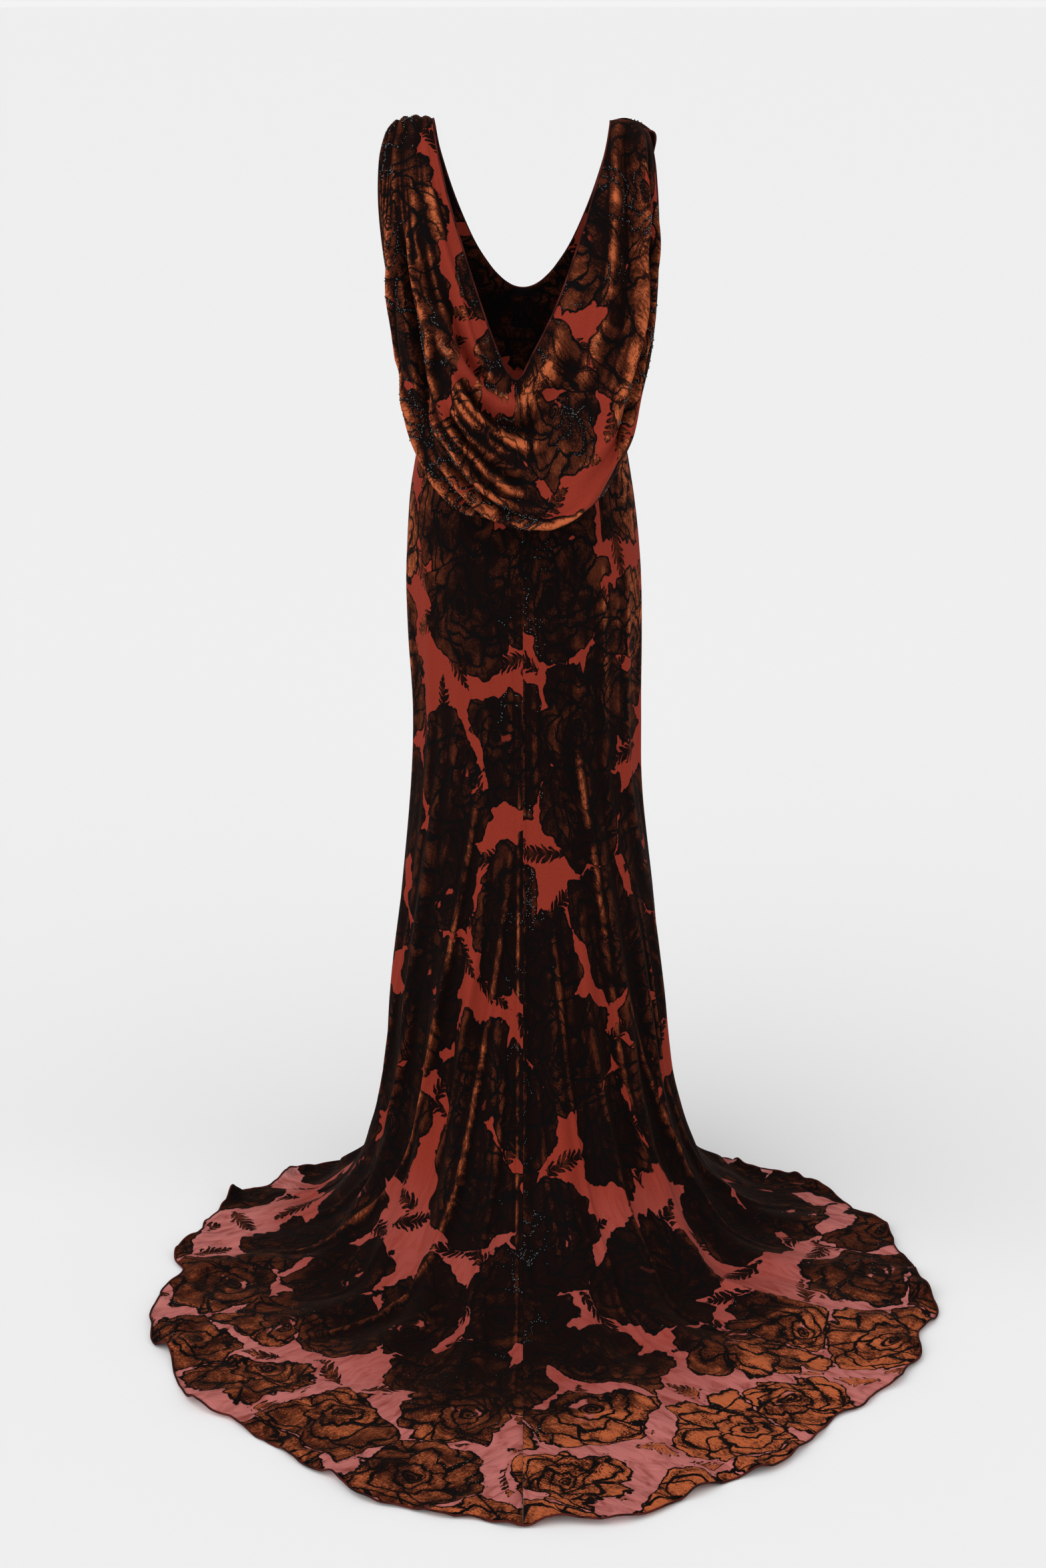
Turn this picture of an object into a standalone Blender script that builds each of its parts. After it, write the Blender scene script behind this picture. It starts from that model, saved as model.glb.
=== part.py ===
"""Bias-cut evening dress with a draped cowl back and a long train.

The dress is one wall of cloth, in the hollow shape that it takes when it is worn. Metres, Z up.
The origin lies midway between the shoulder seams, where the dress is held up. The front looks
along +Y, so the cowl and the train are on the -Y side. Heights in the tables are above the floor.
"""
import bmesh
import bpy
import numpy as np

# Driving sizes
SHOULDER_HEIGHT = 1.514
WAIST_HEIGHT = 1.100
WALL = 0.0016
SEAM_GAP = 0.0003
FLOOR_CLEARANCE = 0.0004
SHARP_ANGLE = 0.7
SIDE_SEAM_DIRECTION = 98.0
# Rays of the train start on the body bunched towards the middle of the back
EVEN_SHARE = 0.35
BUNCH_POWER = 2.4
COLLECTION_NAME = "bias_cut_dress"

# Cloth colours, red, green, blue, in linear light
VELVET_ROUGHNESS = 0.85
COLOURS = {
    "back_cowl": (0.160, 0.030, 0.014),
    "front_bodice": (0.120, 0.022, 0.012),
    "back_skirt_left": (0.090, 0.018, 0.011),
    "back_skirt_right": (0.105, 0.020, 0.012),
    "front_skirt": (0.075, 0.016, 0.010),
}

# Skirt rings from the waist down to where the cloth meets the floor.
# height, half width left, half width right, depth to the back, depth to the front, and fan:
# how far the ring's columns have turned from even spacing on the body (0) to the train's rays (1)
SKIRT_RINGS = (
    (1.100, 0.138, 0.135, 0.100, 0.092, 0.00),
    (1.020, 0.151, 0.148, 0.112, 0.100, 0.00),
    (0.930, 0.157, 0.157, 0.118, 0.104, 0.02),
    (0.840, 0.154, 0.159, 0.114, 0.102, 0.06),
    (0.730, 0.147, 0.158, 0.107, 0.099, 0.15),
    (0.620, 0.151, 0.160, 0.110, 0.102, 0.30),
    (0.480, 0.166, 0.179, 0.126, 0.112, 0.50),
    (0.340, 0.180, 0.193, 0.152, 0.128, 0.70),
    (0.210, 0.188, 0.206, 0.192, 0.150, 0.85),
    (0.110, 0.210, 0.234, 0.255, 0.175, 0.95),
    (0.045, 0.250, 0.275, 0.345, 0.205, 1.00),
    (0.010, 0.300, 0.330, 0.470, 0.230, 1.00),
)

# Hem on the floor, by direction from the middle of the back: degrees, radius left, radius right
HEM_RADII = (
    (0, 0.868, 0.868),
    (6, 0.851, 0.864),
    (12, 0.810, 0.842),
    (22, 0.764, 0.788),
    (35, 0.704, 0.724),
    (50, 0.624, 0.674),
    (62, 0.537, 0.607),
    (75, 0.476, 0.531),
    (90, 0.420, 0.464),
    (105, 0.358, 0.388),
    (120, 0.305, 0.315),
    (145, 0.266, 0.268),
    (180, 0.252, 0.252),
)
HEM_HEIGHT = WALL + FLOOR_CLEARANCE
MID_TRAIN_HEIGHT = 0.003
# Scallops of the hem: waves round the whole hem, size, starting angle in radians
HEM_WAVES = (
    (19, 0.0070, 0.4),
    (31, 0.0045, 1.9),
)
HEM_LIFT = 0.004
# Degrees from the middle of the back at which the scallops have died away, and how gradually
SCALLOPS_END = 140
SCALLOPS_FADE = 40

# Folds of the skirt that widen downwards into the train:
# direction in degrees, half width in degrees, height where it starts, how far it stands out
FLUTES = (
    (-170, 9, 0.55, 0.008),
    (-146, 9, 0.62, 0.009),
    (-121, 8, 0.70, 0.010),
    (-84, 7, 0.72, 0.009),
    (-65, 7, 0.84, 0.014),
    (-46, 7, 0.60, 0.011),
    (-29, 7, 0.70, 0.013),
    (-13, 6, 0.50, 0.009),
    (0, 4, 0.98, 0.005),
    (15, 7, 0.52, 0.010),
    (33, 7, 0.66, 0.011),
    (51, 7, 0.84, 0.014),
    (66, 6, 0.60, 0.012),
    (83, 7, 0.72, 0.009),
    (120, 8, 0.70, 0.010),
    (144, 9, 0.60, 0.008),
    (168, 9, 0.66, 0.009),
)
FLUTE_FULL_HEIGHT = 0.22
FLUTE_ON_MID_TRAIN = 0.45

# Draped back, across the dress from the left shoulder to the right one. Each section runs from
# the neck edge over the crest of the drape and its lowest fold to the cloth that returns below.
# neck, crest, fold, under: (x, how far behind the shoulders, height)
COWL_SECTIONS = (
    ((-0.115, 0.000, 1.511), (-0.131, 0.000, 1.514), (-0.150, 0.000, 1.512), (-0.163, 0.000, 1.506)),
    ((-0.114, 0.020, 1.504), (-0.131, 0.023, 1.507), (-0.153, 0.022, 1.504), (-0.168, 0.019, 1.497)),
    ((-0.109, 0.048, 1.472), (-0.131, 0.058, 1.471), (-0.160, 0.056, 1.465), (-0.174, 0.048, 1.461)),
    ((-0.095, 0.080, 1.415), (-0.125, 0.095, 1.406), (-0.157, 0.088, 1.400), (-0.172, 0.072, 1.397)),
    ((-0.070, 0.103, 1.335), (-0.109, 0.121, 1.314), (-0.148, 0.107, 1.305), (-0.165, 0.080, 1.308)),
    ((-0.046, 0.116, 1.265), (-0.088, 0.141, 1.203), (-0.138, 0.116, 1.195), (-0.151, 0.066, 1.213)),
    ((-0.028, 0.122, 1.218), (-0.065, 0.156, 1.126), (-0.115, 0.134, 1.111), (-0.140, 0.060, 1.126)),
    ((-0.017, 0.125, 1.199), (-0.038, 0.167, 1.074), (-0.079, 0.150, 1.049), (-0.120, 0.090, 1.074)),
    ((-0.010, 0.126, 1.193), (0.000, 0.172, 1.046), (-0.030, 0.154, 1.027), (-0.062, 0.122, 1.056)),
    ((-0.002, 0.126, 1.197), (0.038, 0.175, 1.037), (0.032, 0.156, 1.014), (0.024, 0.130, 1.050)),
    ((0.012, 0.122, 1.224), (0.080, 0.166, 1.061), (0.086, 0.148, 1.035), (0.106, 0.106, 1.061)),
    ((0.032, 0.115, 1.262), (0.113, 0.150, 1.123), (0.123, 0.127, 1.096), (0.135, 0.058, 1.110)),
    ((0.051, 0.108, 1.306), (0.129, 0.134, 1.213), (0.145, 0.103, 1.178), (0.147, 0.056, 1.180)),
    ((0.072, 0.096, 1.366), (0.136, 0.114, 1.297), (0.159, 0.086, 1.265), (0.160, 0.050, 1.256)),
    ((0.093, 0.073, 1.432), (0.134, 0.093, 1.390), (0.162, 0.076, 1.368), (0.169, 0.058, 1.356)),
    ((0.105, 0.046, 1.472), (0.129, 0.058, 1.463), (0.151, 0.053, 1.454), (0.163, 0.044, 1.447)),
    ((0.111, 0.019, 1.502), (0.126, 0.022, 1.505), (0.143, 0.021, 1.501), (0.154, 0.018, 1.495)),
    ((0.112, 0.000, 1.508), (0.125, 0.000, 1.512), (0.139, 0.000, 1.510), (0.148, 0.000, 1.504)),
)
# Edge of the armholes at the back, from the shoulder seam down to the underarm
BACK_ARMHOLE_LEFT = (
    (-0.171, 0.000, 1.500),
    (-0.177, 0.016, 1.488),
    (-0.183, 0.038, 1.456),
    (-0.183, 0.052, 1.395),
    (-0.174, 0.045, 1.315),
    (-0.159, 0.010, 1.245),
)
BACK_ARMHOLE_RIGHT = (
    (0.155, 0.000, 1.498),
    (0.162, 0.014, 1.488),
    (0.170, 0.034, 1.441),
    (0.173, 0.042, 1.345),
    (0.159, 0.010, 1.245),
)
# Side seam from the underarm to the waist, the same on both sides
SIDE_SEAM = (
    (0.159, 0.010, 1.245),
    (0.148, 0.005, 1.1725),
    (0.137, 0.000, WAIST_HEIGHT),
)
# Where the cowl's middle sections end on the waist, in degrees from the middle of the back
COWL_WAIST_DIRECTIONS = (-90, -62, -30, 12, 55, 90)
# Sections between which each piece's outer edge is the side seam
COWL_SIDE_SEAMS = ((5, 6), (11, 13))
BODICE_SIDE_SEAMS = ((5, 7), (11, 13))

# The cowl returns to the waist seam level, from this share of the way to its under line
TUCK_SHARE = 0.22
TUCK_CLEARANCE = 0.0018

# Folds of the cowl: first section, place on it from neck (0) to seam (1), last section,
# place on that one, half width, how far it stands out
COWL_FOLDS = (
    (1.4, 0.05, 8.6, 0.04, 0.012, 0.0045),
    (3.4, 0.24, 9.2, 0.12, 0.024, 0.0120),
    (2.8, 0.34, 9.6, 0.20, 0.014, 0.0080),
    (2.6, 0.43, 9.4, 0.27, 0.014, 0.0080),
    (1.8, 0.52, 8.4, 0.37, 0.018, 0.0110),
    (1.4, 0.66, 7.0, 0.50, 0.018, 0.0070),
    (17.0, 0.34, 12.0, 0.26, 0.016, 0.0060),
    (16.6, 0.62, 10.2, 0.42, 0.020, 0.0090),
    (15.6, 0.05, 10.0, 0.04, 0.012, 0.0030),
)
# A section narrower than this has its folds shrunk in step with its width
FULL_FOLD_SECTION = 0.22
# Share of a fold's length over which it rises or dies away
FOLD_FADE = 0.18
# Gathers of the left strap: place between its edges, how far each stands out
STRAP_GATHERS = (
    (0.12, 0.0022),
    (0.27, 0.0030),
    (0.42, 0.0026),
    (0.58, 0.0032),
    (0.74, 0.0024),
)
GATHER_HALF_WIDTH = 0.0055
GATHER_END = 4.0
GATHER_FADE = 1.5

# Plain front bodice, left half, from the shoulder to the middle, at the front (so behind is < 0).
# neck, breast, side: (x, how far behind the shoulders, height)
BODICE_SECTIONS = (
    ((-0.114, -0.020, 1.503), (-0.133, -0.023, 1.506), (-0.154, -0.021, 1.501)),
    ((-0.108, -0.046, 1.468), (-0.132, -0.054, 1.464), (-0.153, -0.048, 1.457)),
    ((-0.090, -0.077, 1.408), (-0.119, -0.085, 1.392), (-0.142, -0.070, 1.381)),
    ((-0.066, -0.099, 1.350), (-0.098, -0.113, 1.314), (-0.139, -0.080, 1.300)),
    ((-0.045, -0.108, 1.316), (-0.087, -0.121, 1.252), (-0.145, -0.056, 1.238)),
    ((-0.030, -0.111, 1.299), (-0.074, -0.118, 1.210), (-0.141, -0.045, 1.182)),
    ((-0.018, -0.113, 1.290), (-0.056, -0.114, 1.185), (-0.134, -0.043, 1.136)),
    ((-0.008, -0.114, 1.286), (-0.030, -0.114, 1.170), (-0.098, -0.078, 1.130)),
    ((0.000, -0.1145, 1.285), (0.000, -0.113, 1.165), (0.000, -0.104, 1.128)),
)
# Edge of the front armhole, left side, between the shoulder seam and the underarm
FRONT_ARMHOLE = (
    (-0.171, -0.017, 1.489),
    (-0.166, -0.038, 1.450),
    (-0.156, -0.052, 1.372),
    (-0.157, -0.032, 1.290),
)
BODICE_WAIST_DIRECTIONS = (-90, -135, -180)

# Mesh density
BACK_COLUMNS = 26
FRONT_COLUMNS = 25
SKIRT_ROWS = 26
SPARE_COLUMNS = 2
COWL_COLUMNS_PER_SECTION = 3
COWL_ROWS = 25
BODICE_COLUMNS_PER_SECTION = 2
BODICE_ROWS = 9
# Share of the cowl's rows, and of its width, that the folded part takes
FOLDED_ROWS = 0.72
FOLDED_WIDTH = 0.60


def clear_scene():
    """Start from an empty scene."""
    for item in list(bpy.data.objects):
        bpy.data.objects.remove(item, do_unlink=True)


def smooth(rows, places):
    """Values at fractional places along the rows, on a smooth curve through every row."""
    rows = np.asarray(rows, dtype=float)
    places = np.clip(np.asarray(places, dtype=float), 0, len(rows) - 1)
    before = np.minimum(places.astype(int), len(rows) - 2)
    part = (places - before).reshape((-1,) + (1,) * (rows.ndim - 1))
    first = 2 * rows[:1] - rows[1:2]
    last = 2 * rows[-1:] - rows[-2:-1]
    padded = np.concatenate([first, rows, last])
    a, b, c, d = (padded[before + step] for step in range(4))
    bend = (2 * a - 5 * b + 4 * c - d) * part ** 2
    twist = (3 * b - a - 3 * c + d) * part ** 3
    return 0.5 * (2 * b + (c - a) * part + bend + twist)


def ridge(distance, half_width):
    """A soft ridge: 1 on its line, 0 and level from half_width on."""
    near = np.clip(np.abs(distance) / half_width, 0, 1)
    return 0.5 + 0.5 * np.cos(np.pi * near)


def ease(value):
    """Turn a straight 0 to 1 ramp into a soft one."""
    value = np.clip(value, 0, 1)
    return value * value * (3 - 2 * value)


def outward(grid):
    """Unit normals of a grid of points, on its right-hand side."""
    along = np.gradient(grid, axis=0)
    across = np.gradient(grid, axis=1)
    normal = np.cross(along, across)
    return normal / np.linalg.norm(normal, axis=2, keepdims=True)


def body_direction(direction):
    """Where a ray of the train starts on the body, in degrees."""
    share = np.abs(direction) / SIDE_SEAM_DIRECTION
    bunched = EVEN_SHARE * share + (1 - EVEN_SHARE) * share ** BUNCH_POWER
    back = 90 * bunched
    front = 90 + 90 * (np.abs(direction) - SIDE_SEAM_DIRECTION) / (180 - SIDE_SEAM_DIRECTION)
    return np.sign(direction) * np.where(share <= 1, back, front)


def ring_points(ring, direction):
    """Points of one skirt ring at the given directions of the train."""
    height, left, right, back, front, fan = ring
    angle = np.radians((1 - fan) * body_direction(direction) + fan * direction)
    width = np.where(np.sin(angle) < 0, left, right)
    depth = np.where(np.cos(angle) > 0, back, front)
    heights = np.full_like(angle, height)
    return np.stack([width * np.sin(angle), -depth * np.cos(angle), heights], axis=1)


def hem_points(direction):
    """The scalloped hem on the floor, and how much it lifts."""
    table = np.array(HEM_RADII, dtype=float)
    away = np.abs(direction)
    places = np.interp(away, table[:, 0], np.arange(len(table)))
    both = smooth(table[:, 1:], places)
    radius = np.where(direction < 0, both[:, 0], both[:, 1])
    angle = np.radians(direction)
    wave = sum(size * np.sin(count * angle + start) for count, size, start in HEM_WAVES)
    fade = ease((SCALLOPS_END - away) / SCALLOPS_FADE)
    radius = radius + wave * fade
    lift = HEM_LIFT * (0.5 + 0.5 * np.sin(HEM_WAVES[0][0] * angle)) * fade
    heights = HEM_HEIGHT + lift
    return np.stack([radius * np.sin(angle), -radius * np.cos(angle), heights], axis=1)


def skirt_surface(direction, rows):
    """Outer face of the skirt and train: a row of points for each level, waist to hem."""
    stations = [ring_points(ring, direction) for ring in SKIRT_RINGS]
    touch = stations[-1]
    hem = hem_points(direction)
    middle = 0.5 * (touch + hem)
    middle[:, 2] = MID_TRAIN_HEIGHT
    stations += [middle, hem]
    places = np.linspace(0, len(stations) - 1, rows)
    grid = smooth(np.array(stations), places)
    grid[:, :, 2] = np.maximum(grid[:, :, 2], HEM_HEIGHT)
    on_train = np.clip((places - (len(stations) - 3)) / 2, 0, 1)[:, None]
    return grid + outward(grid) * flute_lift(grid[:, :, 2], direction, on_train)[:, :, None]


def flute_lift(height, direction, on_train):
    """How far the skirt's folds stand out at each point."""
    total = np.zeros_like(height)
    floor_share = np.interp(on_train, (0, 0.5, 1), (1, FLUTE_ON_MID_TRAIN, 0))
    for middle, half_width, top, lift in FLUTES:
        turn = (direction - middle + 180) % 360 - 180
        grown = ease((top - height) / (top - FLUTE_FULL_HEIGHT))
        total += lift * ridge(turn, half_width)[None, :] * grown * floor_share
    return total


def skirt_wall(first, last, columns, rows):
    """Outer points and normals of a skirt panel between two seams, in degrees.

    Spare columns past the seams give both panels of a seam the same normals there.
    """
    step = (last - first) / columns
    spare = SPARE_COLUMNS
    direction = first + step * np.arange(-spare, columns + 1 + spare)
    grid = skirt_surface((direction + 180) % 360 - 180, rows)
    normal = outward(grid)
    return grid[:, spare:-spare], normal[:, spare:-spare]


def waist_points(degrees):
    """Points just above the skirt's waist ring, in degrees from the middle of the back."""
    height, left, right, back, front, _ = SKIRT_RINGS[0]
    angle = np.radians(degrees)
    width = np.where(np.sin(angle) < 0, left, right)
    depth = np.where(np.cos(angle) > 0, back, front)
    heights = np.full_like(angle, height + SEAM_GAP)
    return np.stack([width * np.sin(angle), depth * np.cos(angle), heights], axis=1)


def stretch(rows):
    """A stretch of edge on a smooth curve through the rows, from share 0 to share 1."""
    return lambda share: smooth(rows, share * (len(rows) - 1))


def side_seam(sign, gap):
    """The side seam of one side, drawn back from its neighbour by the gap."""
    return [(sign * x, behind + gap, height) for x, behind, height in SIDE_SEAM]


def waist_arc(directions):
    """A stretch of the waist seam that passes the given directions at even steps."""
    places = np.linspace(0, 1, len(directions))
    return lambda share: waist_points(np.interp(share, places, directions))


def edge_points(pieces, places):
    """Points of an outer edge made of stretches: (first section, last section, curve)."""
    found = np.zeros((len(places), 3))
    for first, last, curve in pieces:
        here = (places >= first) & (places <= last)
        found[here] = curve((places[here] - first) / (last - first))
    return found


def band_surface(lines, across):
    """Smooth band through lines that run side by side, from its neck edge to its outer edge.

    Each line holds points (x, behind the shoulders, height), one for each column. A row is made
    at each share of the way across.
    """
    grid = smooth(np.array(lines), np.asarray(across) * (len(lines) - 1))
    grid[:, :, 1] *= -1
    return grid


def section_lines(sections, columns_per_section):
    """Section numbers of the columns, and smooth lines through the sections' points."""
    last = len(sections) - 1
    places = np.linspace(0, last, int(last * columns_per_section) + 1)
    lines = [smooth([row[k] for row in sections], places) for k in range(len(sections[0]))]
    return places, lines


def band_wall(grid, side_seams, columns_per_section):
    """Outer points and normals of a bodice piece, square to its shoulder and side seams."""
    normal = outward(grid)
    for end in (0, -1):
        normal[:, end, 1] = 0
    for first, last in side_seams:
        here = slice(first * columns_per_section, last * columns_per_section + 1)
        normal[-1, here, 1] = 0
    return grid, normal / np.linalg.norm(normal, axis=2, keepdims=True)


def cowl_lift(places, across, width):
    """How far the cowl's folds stand out at each point, on sections of the given widths."""
    total = np.zeros((len(across), len(places)))
    size = np.minimum(width / FULL_FOLD_SECTION, 1)
    for first, start, last, end, half_width, lift in COWL_FOLDS:
        share = (places - first) / (last - first)
        line = start + (end - start) * np.clip(share, 0, 1)
        fade = ease(share / FOLD_FADE) * ease((1 - share) / FOLD_FADE)
        distance = (across[:, None] - line) * width
        total += lift * size * ridge(distance, half_width) * fade
    for place, lift in STRAP_GATHERS:
        fade = ease((GATHER_END - places) / GATHER_FADE)
        total += lift * ridge((across[:, None] - place) * width, GATHER_HALF_WIDTH) * fade
    return total


def cowl_surface():
    """Outer face of the draped back."""
    pieces = (
        (0, 5, stretch(BACK_ARMHOLE_LEFT)),
        (5, 6, stretch(side_seam(-1, SEAM_GAP / 2))),
        (6, 11, waist_arc(COWL_WAIST_DIRECTIONS)),
        (11, 13, stretch(side_seam(1, SEAM_GAP / 2)[::-1])),
        (13, 17, stretch(BACK_ARMHOLE_RIGHT[::-1])),
    )
    places, lines = section_lines(COWL_SECTIONS, COWL_COLUMNS_PER_SECTION)
    edge = edge_points(pieces, places)
    tuck = edge + (lines[-1] - edge) * TUCK_SHARE
    tuck[:, 2] = np.maximum(tuck[:, 2], WAIST_HEIGHT + TUCK_CLEARANCE)
    rows = np.linspace(0, 1, COWL_ROWS)
    across = np.interp(rows, (0, FOLDED_ROWS, 1), (0, FOLDED_WIDTH, 1))
    grid = band_surface(lines + [tuck, edge], across)
    width = np.linalg.norm(np.diff(grid, axis=0), axis=2).sum(axis=0)
    return grid + outward(grid) * cowl_lift(places, across, width)[:, :, None]


def mirrored(points):
    """The same points on the other side of the dress."""
    return [(-x, behind, height) for x, behind, height in points]


def bodice_surface():
    """Outer face of the plain front above the waist, from the right shoulder to the left."""
    left = [COWL_SECTIONS[0][:3]] + list(BODICE_SECTIONS)
    right = [COWL_SECTIONS[-1][:3]] + [mirrored(row) for row in BODICE_SECTIONS[:-1]]
    left_arm = [BACK_ARMHOLE_LEFT[0], *FRONT_ARMHOLE, side_seam(-1, -SEAM_GAP / 2)[0]]
    right_arm = [BACK_ARMHOLE_RIGHT[0], *mirrored(FRONT_ARMHOLE), side_seam(1, -SEAM_GAP / 2)[0]]
    left_waist = waist_arc(BODICE_WAIST_DIRECTIONS[::-1])
    right_waist = waist_arc([-turn for turn in BODICE_WAIST_DIRECTIONS])
    pieces = (
        (0, 5, stretch(right_arm)),
        (5, 7, stretch(side_seam(1, -SEAM_GAP / 2))),
        (7, 9, right_waist),
        (9, 11, left_waist),
        (11, 13, stretch(side_seam(-1, -SEAM_GAP / 2)[::-1])),
        (13, 18, stretch(left_arm[::-1])),
    )
    places, lines = section_lines(right + left[::-1], BODICE_COLUMNS_PER_SECTION)
    edge = edge_points(pieces, places)
    return band_surface(lines + [edge], np.linspace(0, 1, BODICE_ROWS))


def part_at_seams(outer, inner, top):
    """Draw the side edges, and where asked the top edge, back by half a seam gap."""
    for edge, neighbour in ((0, 1), (-1, -2)):
        towards = outer[:, neighbour] - outer[:, edge]
        towards = towards / np.linalg.norm(towards, axis=1, keepdims=True)
        outer[:, edge] += towards * SEAM_GAP / 2
        inner[:, edge] += towards * SEAM_GAP / 2
    if top:
        outer[0, :, 2] -= SEAM_GAP / 2
        inner[0, :, 2] -= SEAM_GAP / 2


def cloth_material(name):
    """Velvet and chiffon seen from a distance, as one plain finish."""
    material = bpy.data.materials.new(name + "_cloth")
    material.use_nodes = True
    shader = material.node_tree.nodes["Principled BSDF"]
    shader.inputs["Base Color"].default_value = (*COLOURS[name], 1)
    shader.inputs["Roughness"].default_value = VELVET_ROUGHNESS
    shader.inputs["Metallic"].default_value = 0
    return material


def add_sheet(build, points):
    """Add one face of the cloth: a grid primitive with its points moved to the surface."""
    rows, columns = points.shape[:2]
    made = bmesh.ops.create_grid(build, x_segments=columns - 1, y_segments=rows - 1, size=1)
    for vertex, point in zip(made["verts"], points.reshape(-1, 3)):
        vertex.co = point


def cloth_wall(name, surface, collection, top=False):
    """One piece of cloth: its two faces, a wall apart, bridged along the edges."""
    outer = surface[0].copy()
    inner = outer - surface[1] * WALL
    part_at_seams(outer, inner, top)
    mesh = bpy.data.meshes.new(name)
    build = bmesh.new()
    for points in (outer, inner):
        points[:, :, 2] -= SHOULDER_HEIGHT
        add_sheet(build, points)
    rims = [edge for edge in build.edges if edge.is_boundary]
    bmesh.ops.bridge_loops(build, edges=rims)
    bmesh.ops.recalc_face_normals(build, faces=build.faces)
    build.to_mesh(mesh)
    build.free()
    mesh.materials.append(cloth_material(name))
    mesh.shade_smooth()
    mesh.set_sharp_from_angle(angle=SHARP_ANGLE)
    item = bpy.data.objects.new(name, mesh)
    collection.objects.link(item)
    return item


def main():
    """Model every piece of the dress."""
    clear_scene()
    collection = bpy.data.collections.new(COLLECTION_NAME)
    bpy.context.scene.collection.children.link(collection)
    side = SIDE_SEAM_DIRECTION
    left = skirt_wall(-side, 0, BACK_COLUMNS, SKIRT_ROWS)
    right = skirt_wall(0, side, BACK_COLUMNS, SKIRT_ROWS)
    front = skirt_wall(side, 360 - side, FRONT_COLUMNS, SKIRT_ROWS)
    cloth_wall("back_skirt_left", left, collection, top=True)
    cloth_wall("back_skirt_right", right, collection, top=True)
    cloth_wall("front_skirt", front, collection, top=True)
    cowl = band_wall(cowl_surface(), COWL_SIDE_SEAMS, COWL_COLUMNS_PER_SECTION)
    bodice = band_wall(bodice_surface(), BODICE_SIDE_SEAMS, BODICE_COLUMNS_PER_SECTION)
    cloth_wall("back_cowl", cowl, collection)
    cloth_wall("front_bodice", bodice, collection)


main()
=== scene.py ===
# %% [markdown]
# # A bias-cut evening dress in cut velvet
#
# The dress hangs from two wide shoulder straps. Its back is a low V over a cowl that hangs in
# nested folds, and its slim skirt opens into a long train. The cloth is cut velvet: patches of
# velvet roses on a thin brick-red chiffon. This lesson dresses the rigid CAD model of the gown
# with fine cloth, beads and a soft studio.
#
# The CAD model comes first.

import bmesh
import bpy
import numpy as np
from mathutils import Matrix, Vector


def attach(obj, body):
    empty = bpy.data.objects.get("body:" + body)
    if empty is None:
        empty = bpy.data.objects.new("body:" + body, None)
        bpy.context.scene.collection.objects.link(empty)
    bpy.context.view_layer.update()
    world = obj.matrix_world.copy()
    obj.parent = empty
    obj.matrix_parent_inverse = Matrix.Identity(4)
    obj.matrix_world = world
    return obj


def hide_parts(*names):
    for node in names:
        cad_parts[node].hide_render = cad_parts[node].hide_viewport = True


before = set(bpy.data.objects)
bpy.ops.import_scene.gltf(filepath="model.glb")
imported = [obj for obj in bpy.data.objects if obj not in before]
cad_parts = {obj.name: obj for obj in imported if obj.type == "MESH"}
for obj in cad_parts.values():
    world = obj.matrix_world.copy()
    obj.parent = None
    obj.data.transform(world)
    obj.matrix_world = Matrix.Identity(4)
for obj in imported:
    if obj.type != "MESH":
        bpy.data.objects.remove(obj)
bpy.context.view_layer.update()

print("nodes:", sorted(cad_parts))

# %% [markdown]
# ## Soft curves
#
# Cloth has no straight lines. Every form below is a short table of sections with a smooth curve
# through them, and every fold is a soft ridge added along the surface's normal. These helpers are
# shared by the skirt and the bodice.

# %% Helpers for soft surfaces
SHOULDER_HEIGHT = 1.514
SEAM_GAP = 0.0003
CRUMPLE_WAVES = 14


def smooth(rows, places):
    """Values at fractional places along the rows, on a smooth curve through every row."""
    rows = np.asarray(rows, dtype=float)
    places = np.clip(np.asarray(places, dtype=float), 0, len(rows) - 1)
    before = np.minimum(places.astype(int), len(rows) - 2)
    part = (places - before).reshape((-1,) + (1,) * (rows.ndim - 1))
    first = 2 * rows[:1] - rows[1:2]
    last = 2 * rows[-1:] - rows[-2:-1]
    padded = np.concatenate([first, rows, last])
    a, b, c, d = (padded[before + step] for step in range(4))
    bend = (2 * a - 5 * b + 4 * c - d) * part ** 2
    twist = (3 * b - a - 3 * c + d) * part ** 3
    return 0.5 * (2 * b + (c - a) * part + bend + twist)


def ridge(distance, half_width):
    """A soft ridge: 1 on its line, 0 and level from half_width on."""
    near = np.clip(np.abs(distance) / half_width, 0, 1)
    return 0.5 + 0.5 * np.cos(np.pi * near)


def ease(value, low=0.0, high=1.0):
    """0 up to low, 1 from high on, and a soft step between them."""
    share = np.clip((value - low) / (high - low), 0, 1)
    return share * share * (3 - 2 * share)


def turned(degrees):
    """The same direction, between -180 and 180 degrees."""
    return (degrees + 180) % 360 - 180


def outward(grid):
    """Unit normals of a grid of points, on its right-hand side."""
    normal = np.cross(np.gradient(grid, axis=0), np.gradient(grid, axis=1))
    return normal / np.linalg.norm(normal, axis=2, keepdims=True)


def crumple(grid, stretch, shortest, longest, seed):
    """Soft irregular waves through space, about 1 in size, the same on both sides of a seam."""
    chance = np.random.default_rng(seed)
    total = np.zeros(grid.shape[:2])
    for _ in range(CRUMPLE_WAVES):
        way = chance.normal(size=3)
        length = np.exp(chance.uniform(np.log(shortest), np.log(longest)))
        way *= 2 * np.pi / length / np.linalg.norm(way) / np.array(stretch)
        total += np.sin(grid @ way + chance.uniform(0, 2 * np.pi))
    return total / np.sqrt(CRUMPLE_WAVES / 2)


print("a soft step a quarter of the way along:", ease(0.25))

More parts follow.
